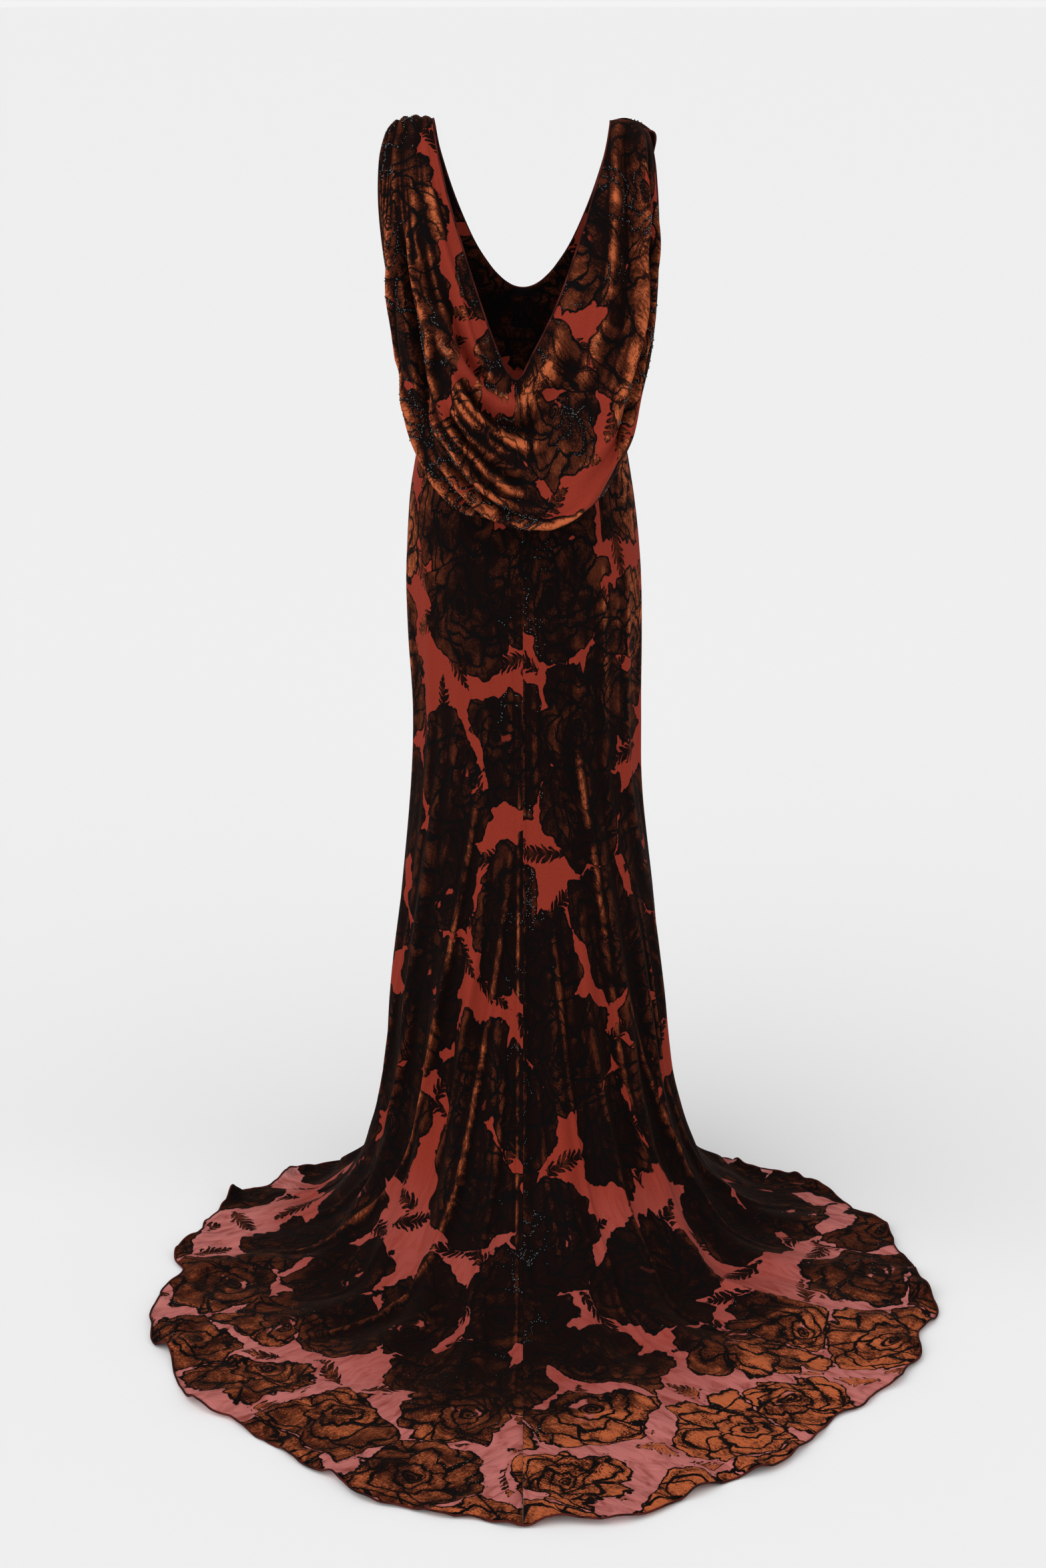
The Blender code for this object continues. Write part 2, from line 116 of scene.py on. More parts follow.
# %% [markdown]
# ## The skirt and the train
#
# The skirt is a tube of rings from the waist to the floor. The rays that run down it fan out into
# the train, so a fold that starts at the knee widens towards the hem, as it does on the real
# dress. The tables are those of the CAD model, in metres above the floor. Only the hem behind the
# dress is up to 19 mm fuller here, so that it runs rounder. The finer folds come after them.

# %% The skirt's form
SIDE_SEAM_DIRECTION = 98.0
EVEN_SHARE = 0.35
BUNCH_POWER = 2.4
# height, half width left, half width right, depth to the back, depth to the front, fan
SKIRT_RINGS = (
    (1.100, 0.138, 0.135, 0.100, 0.092, 0.00),
    (1.020, 0.151, 0.148, 0.112, 0.100, 0.00),
    (0.930, 0.157, 0.157, 0.118, 0.104, 0.02),
    (0.840, 0.154, 0.159, 0.114, 0.102, 0.06),
    (0.730, 0.147, 0.158, 0.107, 0.099, 0.15),
    (0.620, 0.151, 0.160, 0.110, 0.102, 0.30),
    (0.480, 0.166, 0.179, 0.126, 0.112, 0.50),
    (0.340, 0.180, 0.193, 0.152, 0.128, 0.70),
    (0.210, 0.188, 0.206, 0.192, 0.150, 0.85),
    (0.110, 0.210, 0.234, 0.255, 0.175, 0.95),
    (0.045, 0.250, 0.275, 0.345, 0.205, 1.00),
    (0.010, 0.300, 0.330, 0.470, 0.230, 1.00),
)
# degrees from the middle of the back, radius of the hem on the left, and on the right
HEM_RADII = np.array([
    (0, 0.865, 0.865),
    (6, 0.866, 0.872),
    (12, 0.829, 0.845),
    (22, 0.762, 0.788),
    (35, 0.704, 0.724),
    (50, 0.624, 0.674),
    (62, 0.537, 0.607),
    (75, 0.476, 0.531),
    (90, 0.420, 0.464),
    (105, 0.358, 0.388),
    (120, 0.305, 0.315),
    (145, 0.266, 0.268),
    (180, 0.252, 0.252),
])
HEM_HEIGHT = 0.0020
MID_TRAIN_HEIGHT = 0.003
# waves round the hem, size, starting angle in radians
HEM_WAVES = (
    (19, 0.0070, 0.4),
    (31, 0.0045, 1.9),
    (53, 0.0022, 0.9),
)
HEM_LIFT = 0.004
SCALLOPS_END = 140
SCALLOPS_FADE = 40
# direction in degrees, half width in degrees, height where it starts, how far it stands out
FLUTES = (
    (-170, 9, 0.55, 0.008),
    (-146, 9, 0.62, 0.009),
    (-121, 8, 0.70, 0.010),
    (-84, 7, 0.72, 0.009),
    (-65, 7, 0.84, 0.014),
    (-46, 7, 0.60, 0.011),
    (-29, 7, 0.70, 0.013),
    (-13, 6, 0.50, 0.009),
    (0, 4, 0.98, 0.005),
    (15, 7, 0.52, 0.010),
    (33, 7, 0.66, 0.011),
    (51, 7, 0.84, 0.014),
    (66, 6, 0.60, 0.012),
    (83, 7, 0.72, 0.009),
    (120, 8, 0.70, 0.010),
    (144, 9, 0.60, 0.008),
    (168, 9, 0.66, 0.009),
)
FLUTE_FULL_HEIGHT = 0.22
FLUTE_ON_MID_TRAIN = 0.45
print("skirt rings:", len(SKIRT_RINGS), "large folds:", len(FLUTES))

# %% [markdown]
# Rings of points are worked out from the tables. High rings are divided evenly round the body, low
# ones along the rays of the train, and the hem waves in and out. The large folds are ridges that
# start at their own heights and grow downwards, as cloth does once the hips no longer hold it.

# %% Rings, hem and large folds


def body_direction(direction):
    """Where a ray of the train starts on the body, in degrees."""
    share = np.abs(direction) / SIDE_SEAM_DIRECTION
    back = 90 * (EVEN_SHARE * share + (1 - EVEN_SHARE) * share ** BUNCH_POWER)
    front = 90 + 90 * (np.abs(direction) - SIDE_SEAM_DIRECTION) / (180 - SIDE_SEAM_DIRECTION)
    return np.sign(direction) * np.where(share <= 1, back, front)


def oval(angle, left, right, back, front):
    """How far round an oval lies to the side and to the back, at angles from the middle back."""
    width = np.where(np.sin(angle) < 0, left, right)
    depth = np.where(np.cos(angle) > 0, back, front)
    return width * np.sin(angle), depth * np.cos(angle)


def ring_points(ring, direction):
    """Points of one skirt ring at the given directions of the train."""
    height, left, right, back, front, fan = ring
    angle = np.radians((1 - fan) * body_direction(direction) + fan * direction)
    side, behind = oval(angle, left, right, back, front)
    return np.stack([side, -behind, np.full_like(angle, height)], axis=1)


def hem_points(direction):
    """The scalloped hem on the floor, and how much it lifts."""
    away = np.abs(direction)
    both = smooth(HEM_RADII[:, 1:], np.interp(away, HEM_RADII[:, 0], np.arange(len(HEM_RADII))))
    radius = np.where(direction < 0, both[:, 0], both[:, 1])
    angle = np.radians(direction)
    fade = ease((SCALLOPS_END - away) / SCALLOPS_FADE)
    radius = radius + fade * sum(size * np.sin(n * angle + start) for n, size, start in HEM_WAVES)
    heights = HEM_HEIGHT + HEM_LIFT * (0.5 + 0.5 * np.sin(HEM_WAVES[0][0] * angle)) * fade
    return np.stack([radius * np.sin(angle), -radius * np.cos(angle), heights], axis=1)


def fold_lift(height, direction, folds, floor_share):
    """How far folds that open downwards stand out at each point."""
    total = np.zeros_like(height)
    for middle, half_width, top, lift in folds:
        turn = turned(direction - middle)
        grown = ease((top - height) / (top - FLUTE_FULL_HEIGHT))
        total += lift * ridge(turn, half_width)[None, :] * grown * floor_share
    return total


print("the train reaches back:", round(-hem_points(np.zeros(1))[0, 1], 3), "m")

# %% [markdown]
# The big folds above are in the CAD model too. The cloth adds narrow crests on them, with thin
# copper lines of painted highlight along them, soft vertical drapes where the bias clings to the
# hips, small folds between the big ones, and a light crumple where the train lies on the floor.

# %% The skirt's finer folds
# half width in metres, how far it stands out, painted highlight, its path: (share of the way down,
# degrees)
CRESTS = (
    (0.009, 0.0064, 0.56, (
        (0.36, -38), (0.50, -42.5), (0.60, -47), (0.70, -56), (0.82, -66), (0.92, -71)
    )),
    (0.010, 0.0064, 0.64, (
        (0.40, -9), (0.49, -14.5), (0.61, -23), (0.77, -28.5), (0.83, -37), (0.92, -41)
    )),
    (0.006, 0.0042, 0.52, ((0.34, -3.8), (0.45, -3.4), (0.60, -2.6), (0.80, -1.9), (0.92, -2.0))),
    (0.009, 0.0062, 0.40, (
        (0.28, 43), (0.42, 46), (0.56, 45), (0.70, 48), (0.82, 51), (0.94, 52.5)
    )),
    (0.009, 0.0054, 0.34, ((0.50, 50), (0.60, 61), (0.68, 65.5), (0.78, 68), (0.90, 71))),
    (0.008, 0.0046, 0.14, ((0.46, -24), (0.60, -32), (0.76, -45), (0.90, -54))),
    (0.008, 0.0044, 0.12, ((0.50, -58), (0.62, -65), (0.76, -76), (0.90, -84))),
    (0.008, 0.0040, 0.16, ((0.44, 17), (0.58, 20), (0.74, 24), (0.90, 27))),
    (0.008, 0.0044, 0.14, ((0.48, 30), (0.62, 34), (0.78, 37), (0.92, 40))),
    (0.008, 0.0038, 0.12, ((0.42, 70), (0.60, 76), (0.78, 82), (0.92, 88))),
    (0.008, 0.0036, 0.12, ((0.56, 6), (0.68, 9), (0.80, 12), (0.92, 14))),
    (0.008, 0.0036, 0.12, ((0.54, -8), (0.66, -11), (0.80, -15), (0.92, -18))),
    (0.008, 0.0030, 0.20, ((0.44, -73), (0.60, -83), (0.78, -91), (0.92, -95))),
    (0.012, 0.0040, 0.20, ((0.30, 118), (0.60, 120), (0.95, 121))),
    (0.012, 0.0034, 0.20, ((0.44, 132), (0.70, 131), (0.95, 131))),
    (0.012, 0.0040, 0.20, ((0.34, 147), (0.62, 145), (0.95, 144))),
    (0.012, 0.0034, 0.20, ((0.46, 158), (0.72, 159), (0.95, 159))),
    (0.012, 0.0040, 0.20, ((0.32, 171), (0.64, 169), (0.95, 168))),
    (0.012, 0.0034, 0.20, ((0.46, 183), (0.70, 182), (0.95, 182))),
    (0.012, 0.0040, 0.20, ((0.34, 197), (0.62, 198), (0.95, 198))),
    (0.012, 0.0034, 0.20, ((0.46, 212), (0.72, 211), (0.95, 210))),
    (0.012, 0.0040, 0.20, ((0.36, 226), (0.62, 227), (0.95, 228))),
    (0.012, 0.0036, 0.20, ((0.30, 241), (0.60, 240), (0.95, 240))),
)
# share of a crest's width that gets painted highlight, and how its two ends fade, as shares of the
# way down
CREST_SHINE_WIDTH = 0.60
CREST_START = 0.09
CREST_END = 0.06
# direction in degrees, half width in degrees, top, bottom, how far it stands out
DRAPES = (
    (-90, 6, 1.07, 0.42, 0.0028),
    (-74, 5, 1.04, 0.40, 0.0022),
    (-56, 6, 0.98, 0.46, 0.0018),
    (-36, 7, 0.94, 0.52, 0.0014),
    (-15, 6, 1.00, 0.56, 0.0012),
    (12, 6, 0.98, 0.52, 0.0012),
    (30, 7, 0.92, 0.48, 0.0014),
    (47, 6, 1.02, 0.46, 0.0020),
    (62, 5, 1.05, 0.42, 0.0024),
    (78, 5, 1.06, 0.40, 0.0028),
    (92, 5, 1.04, 0.44, 0.0022),
    (112, 9, 1.02, 0.44, 0.0020),
    (135, 9, 0.96, 0.50, 0.0014),
    (158, 9, 1.00, 0.46, 0.0016),
    (180, 8, 0.94, 0.52, 0.0012),
    (-158, 9, 1.00, 0.46, 0.0016),
    (-135, 9, 0.96, 0.50, 0.0014),
    (-112, 9, 1.02, 0.44, 0.0020),
)
DRAPE_SIZE = 1.5
# soft waves of the cloth: stretch along x, y and z, shortest and longest wave, seed
LOOSE_CLOTH = ((1, 1, 1), 0.05, 0.16, 3)
BIAS_CLOTH = ((1, 1, 4), 0.05, 0.20, 8)
FLOOR_RIPPLES = ((1, 1, 1), 0.030, 0.07, 5)
LOOSE_LIFT = 0.0013
BIAS_LIFT = 0.0006
RIPPLE_LIFT = 0.0022
SEAM_PUCKER = 0.0011
SEAM_PUCKER_LENGTH = 0.021
SEAM_PUCKER_WIDTH = 0.016
SEAM_SECTOR = 40
# uneven waves of the ruffled hem, how far they stand up, and how far out as a share
RUFFLE_COUNTS = (23, 37, 61)
RUFFLE_SIZE = 1.7
RUFFLE_LIFT = 0.0090
RUFFLE_REACH = 0.0055
print("narrow crests:", len(CRESTS), "soft drapes:", len(DRAPES))

# %% [markdown]
# Each kind of fold is a function that says how far it stands out. Their sum moves the points along
# the normals once, so that folds can cross without tearing the cloth. The ruffles come last,
# because they move the hem itself.

# %% Add the folds to the skirt


def drape_lift(height, direction):
    """How far the soft vertical drapes over the hips and thighs stand out."""
    total = np.zeros_like(height)
    for middle, half_width, top, bottom, lift in DRAPES:
        turn = turned(direction - middle)
        along = ease(height, bottom, bottom + 0.2) * ease(top - height, 0, 0.25)
        total += DRAPE_SIZE * lift * ridge(turn, half_width)[None, :] * along
    return total


def crest_shares(grid, direction):
    """How far the narrow crests stand out, and how much painted highlight each point gets."""
    down = np.linspace(0, 1, len(grid))
    radius = np.hypot(grid[:, :, 0], grid[:, :, 1])
    total = np.zeros(radius.shape)
    painted_light = np.zeros(radius.shape)
    for half_width, lift, shine, path in CRESTS:
        shares, turns = zip(*path)
        middle = np.interp(down, shares, turns)[:, None]
        away = np.radians(turned(direction[None, :] - middle)) * radius
        fade = ease(down, shares[0], shares[0] + CREST_START)
        fade = (fade * ease(shares[-1] - down, 0, CREST_END))[:, None]
        total += lift * ridge(away, half_width) * fade
        painted_light = np.maximum(painted_light, shine * ridge(away, CREST_SHINE_WIDTH * half_width) * fade)
    return total, painted_light


def seam_pucker(grid, direction, loose):
    """How far the small puckers along the centre back seam stand out."""
    seam = np.abs(grid[:, :, 0]) * (np.cos(np.radians(direction)) > 0)[None, :]
    steps = np.diff(grid, axis=0, prepend=grid[:1])
    travelled = np.cumsum(np.linalg.norm(steps, axis=2), axis=0)
    pucker = np.sin(travelled * 2 * np.pi / SEAM_PUCKER_LENGTH + 2 * loose)
    at_back = (np.abs(direction) < SEAM_SECTOR)[None, :]
    beside = SEAM_PUCKER * pucker * ridge(seam, SEAM_PUCKER_WIDTH)
    return beside * at_back * ease(travelled, 0.05, 0.2)


def ruffle_waves(direction, start):
    """Uneven small waves round the hem, about 1 in size."""
    angle = np.radians(direction)
    gust = 0.6 + 0.4 * np.sin(7 * angle + start)
    waves = gust * sum(np.sin(n * angle + n * start) for n in RUFFLE_COUNTS)
    return waves / len(RUFFLE_COUNTS) * RUFFLE_SIZE


def ruffled(points, direction, on_train):
    """The points of the skirt with small ruffles at the hem, none of them under the floor."""
    near_hem = ease(on_train, 0.78, 1.0) * ease(SCALLOPS_END - np.abs(direction), 0, SCALLOPS_FADE)
    points[:, :, 2] += near_hem * RUFFLE_LIFT * np.clip(ruffle_waves(direction, 0.3), 0, 2)
    frill = 1 + near_hem * RUFFLE_REACH * ruffle_waves(direction, 2.1)
    points[:, :, :2] *= frill[:, :, None]
    points[:, :, 2] = np.maximum(points[:, :, 2], HEM_HEIGHT)
    return points


def skirt_form(direction, rows):
    """The plain form of skirt and train, and how far each row lies towards the hem on the train."""
    stations = [ring_points(ring, direction) for ring in SKIRT_RINGS]
    hem = hem_points(direction)
    middle = 0.5 * (stations[-1] + hem)
    middle[:, 2] = MID_TRAIN_HEIGHT
    stations += [middle, hem]
    places = np.linspace(0, len(stations) - 1, rows)
    grid = smooth(np.array(stations), places)
    grid[:, :, 2] = np.maximum(grid[:, :, 2], HEM_HEIGHT)
    return grid, np.clip((places - len(SKIRT_RINGS) + 1) / 2, 0, 1)[:, None]


def skirt_surface(direction, rows, fold_size=1.0):
    """Outer face of the skirt and train, where each row lies on the train, and painted crest
    highlight.
    """
    grid, on_train = skirt_form(direction, rows)
    height = grid[:, :, 2]
    flute_share = np.interp(on_train, (0, 0.5, 1), (1, FLUTE_ON_MID_TRAIN, 0))
    lift = fold_lift(height, direction, FLUTES, flute_share)
    crest, crest_highlight = crest_shares(grid, direction)
    lift += crest
    lift += drape_lift(height, direction)
    loose = crumple(grid, *LOOSE_CLOTH)
    lift += ease(0.30 - height, 0, 0.28) * LOOSE_LIFT * loose * (1 - 0.4 * on_train)
    lift += BIAS_LIFT * crumple(grid, *BIAS_CLOTH) * ease(1.05 - height, 0, 0.1)
    ripple = np.clip(crumple(grid, *FLOOR_RIPPLES), 0, 2)
    lift += RIPPLE_LIFT * ripple * ease(on_train, 0.25, 0.9)
    lift += seam_pucker(grid, direction, loose)
    placed = ruffled(grid + outward(grid) * lift[:, :, None] * fold_size, direction, on_train)
    return placed, np.broadcast_to(on_train, height.shape), crest_highlight


middle_back = skirt_surface(np.array([-1.0, 0.0, 1.0]), 100)[0][:, 1]
back_seam = np.linalg.norm(np.diff(middle_back, axis=0), axis=1).sum()
print("the centre back seam is", round(back_seam, 3), "m long on the skirt")

# %% [markdown]
# ## The bodice
#
# The back is one band of cloth from shoulder to shoulder. Each of its sections runs from the V
# neck over the crest of the drape and its lowest fold, and back up to the waist seam, so the cowl
# is a real hanging pocket. The front is a plain V. Both meet at the shoulders and the side seams.

# %% The bodice's form
WAIST_HEIGHT = 1.100
# neck, crest, fold, under: (x, how far behind the shoulders, height)
COWL_SECTIONS = (
    ((-0.115, 0.000, 1.511), (-0.131, 0.000, 1.514), (-0.150, 0.000, 1.512), (-0.163, 0.000, 1.506)),
    ((-0.114, 0.020, 1.504), (-0.131, 0.023, 1.507), (-0.153, 0.022, 1.504), (-0.168, 0.019, 1.497)),
    ((-0.109, 0.048, 1.472), (-0.131, 0.058, 1.471), (-0.160, 0.056, 1.465), (-0.174, 0.048, 1.461)),
    ((-0.095, 0.080, 1.415), (-0.125, 0.095, 1.406), (-0.157, 0.088, 1.400), (-0.172, 0.072, 1.397)),
    ((-0.070, 0.103, 1.335), (-0.109, 0.121, 1.314), (-0.148, 0.107, 1.305), (-0.165, 0.080, 1.308)),
    ((-0.046, 0.116, 1.265), (-0.088, 0.141, 1.203), (-0.138, 0.116, 1.195), (-0.151, 0.066, 1.213)),
    ((-0.028, 0.122, 1.218), (-0.065, 0.156, 1.126), (-0.115, 0.134, 1.111), (-0.140, 0.060, 1.126)),
    ((-0.017, 0.125, 1.199), (-0.038, 0.167, 1.074), (-0.079, 0.150, 1.049), (-0.120, 0.090, 1.074)),
    ((-0.010, 0.126, 1.193), (0.000, 0.172, 1.046), (-0.030, 0.154, 1.027), (-0.062, 0.122, 1.056)),
    ((-0.002, 0.126, 1.197), (0.038, 0.175, 1.037), (0.032, 0.156, 1.014), (0.024, 0.130, 1.050)),
    ((0.012, 0.122, 1.224), (0.080, 0.166, 1.061), (0.086, 0.148, 1.035), (0.106, 0.106, 1.061)),
    ((0.032, 0.115, 1.262), (0.113, 0.150, 1.123), (0.123, 0.127, 1.096), (0.135, 0.058, 1.110)),
    ((0.051, 0.108, 1.306), (0.129, 0.134, 1.213), (0.145, 0.103, 1.178), (0.147, 0.056, 1.180)),
    ((0.072, 0.096, 1.366), (0.136, 0.114, 1.297), (0.159, 0.086, 1.265), (0.160, 0.050, 1.256)),
    ((0.093, 0.073, 1.432), (0.134, 0.093, 1.390), (0.162, 0.076, 1.368), (0.169, 0.058, 1.356)),
    ((0.105, 0.046, 1.472), (0.129, 0.058, 1.463), (0.151, 0.053, 1.454), (0.163, 0.044, 1.447)),
    ((0.111, 0.019, 1.502), (0.126, 0.022, 1.505), (0.143, 0.021, 1.501), (0.154, 0.018, 1.495)),
    ((0.112, 0.000, 1.508), (0.125, 0.000, 1.512), (0.139, 0.000, 1.510), (0.148, 0.000, 1.504)),
)
BACK_ARMHOLE_LEFT = (
    (-0.171, 0.000, 1.500),
    (-0.177, 0.016, 1.488),
    (-0.183, 0.038, 1.456),
    (-0.183, 0.052, 1.395),
    (-0.174, 0.045, 1.315),
    (-0.159, 0.010, 1.245),
)
BACK_ARMHOLE_RIGHT = (
    (0.155, 0.000, 1.498),
    (0.162, 0.014, 1.488),
    (0.170, 0.034, 1.441),
    (0.173, 0.042, 1.345),
    (0.159, 0.010, 1.245),
)
SIDE_SEAM = (
    (0.159, 0.010, 1.245),
    (0.148, 0.005, 1.1725),
    (0.137, 0.000, WAIST_HEIGHT),
)
COWL_WAIST_DIRECTIONS = (-90, -62, -30, 12, 55, 90)
TUCK_SHARE = 0.22
TUCK_CLEARANCE = 0.0018
# neck, breast, side: (x, how far behind the shoulders, height), left half, shoulder to middle
BODICE_SECTIONS = (
    ((-0.114, -0.020, 1.503), (-0.133, -0.023, 1.506), (-0.154, -0.021, 1.501)),
    ((-0.108, -0.046, 1.468), (-0.132, -0.054, 1.464), (-0.153, -0.048, 1.457)),
    ((-0.090, -0.077, 1.408), (-0.119, -0.085, 1.392), (-0.142, -0.070, 1.381)),
    ((-0.066, -0.099, 1.350), (-0.098, -0.113, 1.314), (-0.139, -0.080, 1.300)),
    ((-0.045, -0.108, 1.316), (-0.087, -0.121, 1.252), (-0.145, -0.056, 1.238)),
    ((-0.030, -0.111, 1.299), (-0.074, -0.118, 1.210), (-0.141, -0.045, 1.182)),
    ((-0.018, -0.113, 1.290), (-0.056, -0.114, 1.185), (-0.134, -0.043, 1.136)),
    ((-0.008, -0.114, 1.286), (-0.030, -0.114, 1.170), (-0.098, -0.078, 1.130)),
    ((0.000, -0.1145, 1.285), (0.000, -0.113, 1.165), (0.000, -0.104, 1.128)),
)
FRONT_ARMHOLE = (
    (-0.171, -0.017, 1.489),
    (-0.166, -0.038, 1.450),
    (-0.156, -0.052, 1.372),
    (-0.157, -0.032, 1.290),
)
BODICE_WAIST_DIRECTIONS = (-90, -135, -180)
FOLDED_ROWS = 0.72
FOLDED_WIDTH = 0.60
print("sections: back", len(COWL_SECTIONS), "front", 2 * len(BODICE_SECTIONS) + 1)

# %% [markdown]
# The edges of the bodice follow the armholes, the side seams and the waist. Each is a stretch of
# smooth curve, and the panels stop a third of a millimetre short of each other at the side seams
# and a little more at the waist.

# %% Edges and bands


def waist_points(degrees):
    """Points just above the skirt's waist ring, in degrees from the middle of the back."""
    angle = np.radians(degrees)
    side, behind = oval(angle, *SKIRT_RINGS[0][1:5])
    heights = np.full_like(angle, WAIST_HEIGHT + SEAM_GAP)
    return np.stack([side, behind, heights], axis=1)


def stretch(rows):
    """A stretch of edge on a smooth curve through the rows, from share 0 to share 1."""
    return lambda share: smooth(rows, share * (len(rows) - 1))


def side_seam(sign, gap):
    """The side seam of one side, drawn back from its neighbour by the gap."""
    return [(sign * x, behind + gap, height) for x, behind, height in SIDE_SEAM]


def waist_arc(directions):
    """A stretch of the waist seam that passes the given directions at even steps."""
    places = np.linspace(0, 1, len(directions))
    return lambda share: waist_points(np.interp(share, places, directions))


def edge_points(pieces, places):
    """Points of an outer edge made of stretches: (first section, last section, curve)."""
    found = np.zeros((len(places), 3))
    for first, last, curve in pieces:
        here = (places >= first) & (places <= last)
        found[here] = curve((places[here] - first) / (last - first))
    return found


def band_surface(lines, across):
    """Smooth band through lines that run side by side, from its neck edge to its outer edge."""
    grid = smooth(np.array(lines), np.asarray(across) * (len(lines) - 1))
    grid[:, :, 1] *= -1
    return grid


def section_lines(sections, columns):
    """Section numbers of the columns, and smooth lines through the sections' points."""
    places = np.linspace(0, len(sections) - 1, columns)
    lines = [smooth([row[k] for row in sections], places) for k in range(len(sections[0]))]
    return places, lines


print("waist, side to side:", round(np.ptp(waist_points(np.array([-90, 90]))[:, 0]), 3), "m")

# %% [markdown]
# The cowl's folds sweep from the left strap under the V and die away on the right. The broad ones
# are in the CAD model. The narrow ones lie between them, and the strap is gathered at the
# shoulder.

# %% The cowl and the plain front
# first section, place on it from neck (0) to seam (1), last section, place, half width, lift
COWL_FOLDS = (
    (1.4, 0.05, 8.6, 0.04, 0.012, 0.0045),
    (3.4, 0.24, 9.2, 0.12, 0.024, 0.0120),
    (2.8, 0.34, 9.6, 0.20, 0.014, 0.0080),
    (2.6, 0.43, 9.4, 0.27, 0.014, 0.0080),
    (1.8, 0.52, 8.4, 0.37, 0.018, 0.0110),
    (1.4, 0.66, 7.0, 0.50, 0.018, 0.0070),
    (17.0, 0.34, 12.0, 0.26, 0.016, 0.0060),
    (16.6, 0.62, 10.2, 0.42, 0.020, 0.0090),
    (15.6, 0.05, 10.0, 0.04, 0.012, 0.0030),
)
# half width in metres, how far it stands out or in, painted highlight, its path: (section, place
# across)
COWL_CRESTS = (
    (0.010, 0.0060, 0.60, (
        (2.6, 0.55), (3.7, 0.47), (4.3, 0.53), (4.9, 0.52), (5.5, 0.43), (6.4, 0.44),
        (7.0, 0.39), (8.0, 0.36)
    )),
    (0.009, -0.0090, 0.0, (
        (2.8, 0.40), (3.9, 0.355), (4.5, 0.342), (5.0, 0.338), (5.5, 0.365), (6.2, 0.36)
    )),
    (0.007, 0.0065, 0.70, (
        (2.8, 0.38), (3.67, 0.33), (4.1, 0.296), (4.5, 0.265), (5.0, 0.29), (5.6, 0.29)
    )),
    (0.004, 0.0028, 0.50, ((3.0, 0.35), (3.9, 0.325), (4.5, 0.30), (5.0, 0.31))),
    (0.004, 0.0026, 0.50, ((2.9, 0.30), (3.9, 0.275), (4.5, 0.240), (4.9, 0.230))),
    (0.007, -0.0070, 0.0, ((3.2, 0.27), (4.0, 0.245), (4.4, 0.215), (4.8, 0.190))),
    (0.008, 0.0060, 0.75, (
        (2.2, 0.17), (3.24, 0.143), (4.2, 0.101), (4.8, 0.094), (5.5, 0.075), (6.4, 0.052)
    )),
    (0.006, -0.0080, 0.0, ((3.6, 0.19), (4.3, 0.160), (4.8, 0.132), (5.4, 0.100), (6.1, 0.066))),
    (0.010, 0.0110, 1.00, (
        (4.1, 0.255), (4.5, 0.230), (4.75, 0.197), (5.0, 0.162), (5.4, 0.128), (6.2, 0.084),
        (7.3, 0.050), (9.0, 0.034), (11.5, 0.040)
    )),
    (0.006, -0.0060, 0.0, (
        (4.6, 0.225), (5.0, 0.182), (5.45, 0.152), (6.0, 0.120), (7.0, 0.082), (8.4, 0.066),
        (9.6, 0.066)
    )),
    (0.0055, 0.0055, 0.85, (
        (4.7, 0.225), (5.0, 0.200), (5.47, 0.177), (5.9, 0.150), (7.0, 0.108), (8.7, 0.092),
        (9.6, 0.094)
    )),
    (0.005, 0.0045, 0.70, (
        (4.9, 0.232), (5.5, 0.202), (6.35, 0.150), (7.4, 0.128), (8.5, 0.112)
    )),
    (0.006, 0.0050, 0.70, ((5.0, 0.262), (5.86, 0.218), (6.8, 0.168), (8.2, 0.138))),
    (0.007, -0.0065, 0.0, ((5.0, 0.300), (5.7, 0.252), (6.5, 0.188), (7.3, 0.165), (8.4, 0.165))),
    (0.007, 0.0060, 0.85, (
        (5.2, 0.295), (5.73, 0.272), (6.42, 0.218), (7.27, 0.195), (8.4, 0.190)
    )),
    (0.008, 0.0055, 0.65, (
        (4.8, 0.350), (5.27, 0.338), (5.76, 0.325), (6.42, 0.276), (7.3, 0.242), (8.2, 0.222)
    )),
    (0.007, -0.0055, 0.0, ((5.8, 0.365), (6.5, 0.318), (7.2, 0.272), (8.1, 0.248))),
    (0.010, 0.0060, 0.75, (
        (5.8, 0.42), (6.32, 0.375), (6.85, 0.325), (7.7, 0.300), (8.6, 0.265), (9.4, 0.255),
        (10.4, 0.245)
    )),
    (0.008, 0.0050, 0.50, (
        (16.4, 0.17), (15.2, 0.119), (13.8, 0.115), (12.7, 0.119), (11.3, 0.10),
        (10.2, 0.095)
    )),
    (0.009, -0.0045, 0.0, (
        (16.0, 0.26), (14.5, 0.200), (13.3, 0.180), (12.2, 0.165), (11.0, 0.140)
    )),
    (0.010, 0.0070, 0.65, (
        (16.2, 0.47), (15.1, 0.380), (13.7, 0.265), (12.4, 0.241), (11.5, 0.20),
        (10.5, 0.178), (9.6, 0.171)
    )),
    (0.008, -0.0055, 0.0, (
        (15.2, 0.50), (14.0, 0.370), (13.2, 0.320), (12.2, 0.285), (11.2, 0.235),
        (10.4, 0.205)
    )),
    (0.009, 0.0055, 0.45, (
        (14.8, 0.54), (13.4, 0.400), (12.3, 0.330), (11.2, 0.270), (10.2, 0.232)
    )),
)
FULL_FOLD_SECTION = 0.22
FOLD_FADE = 0.18
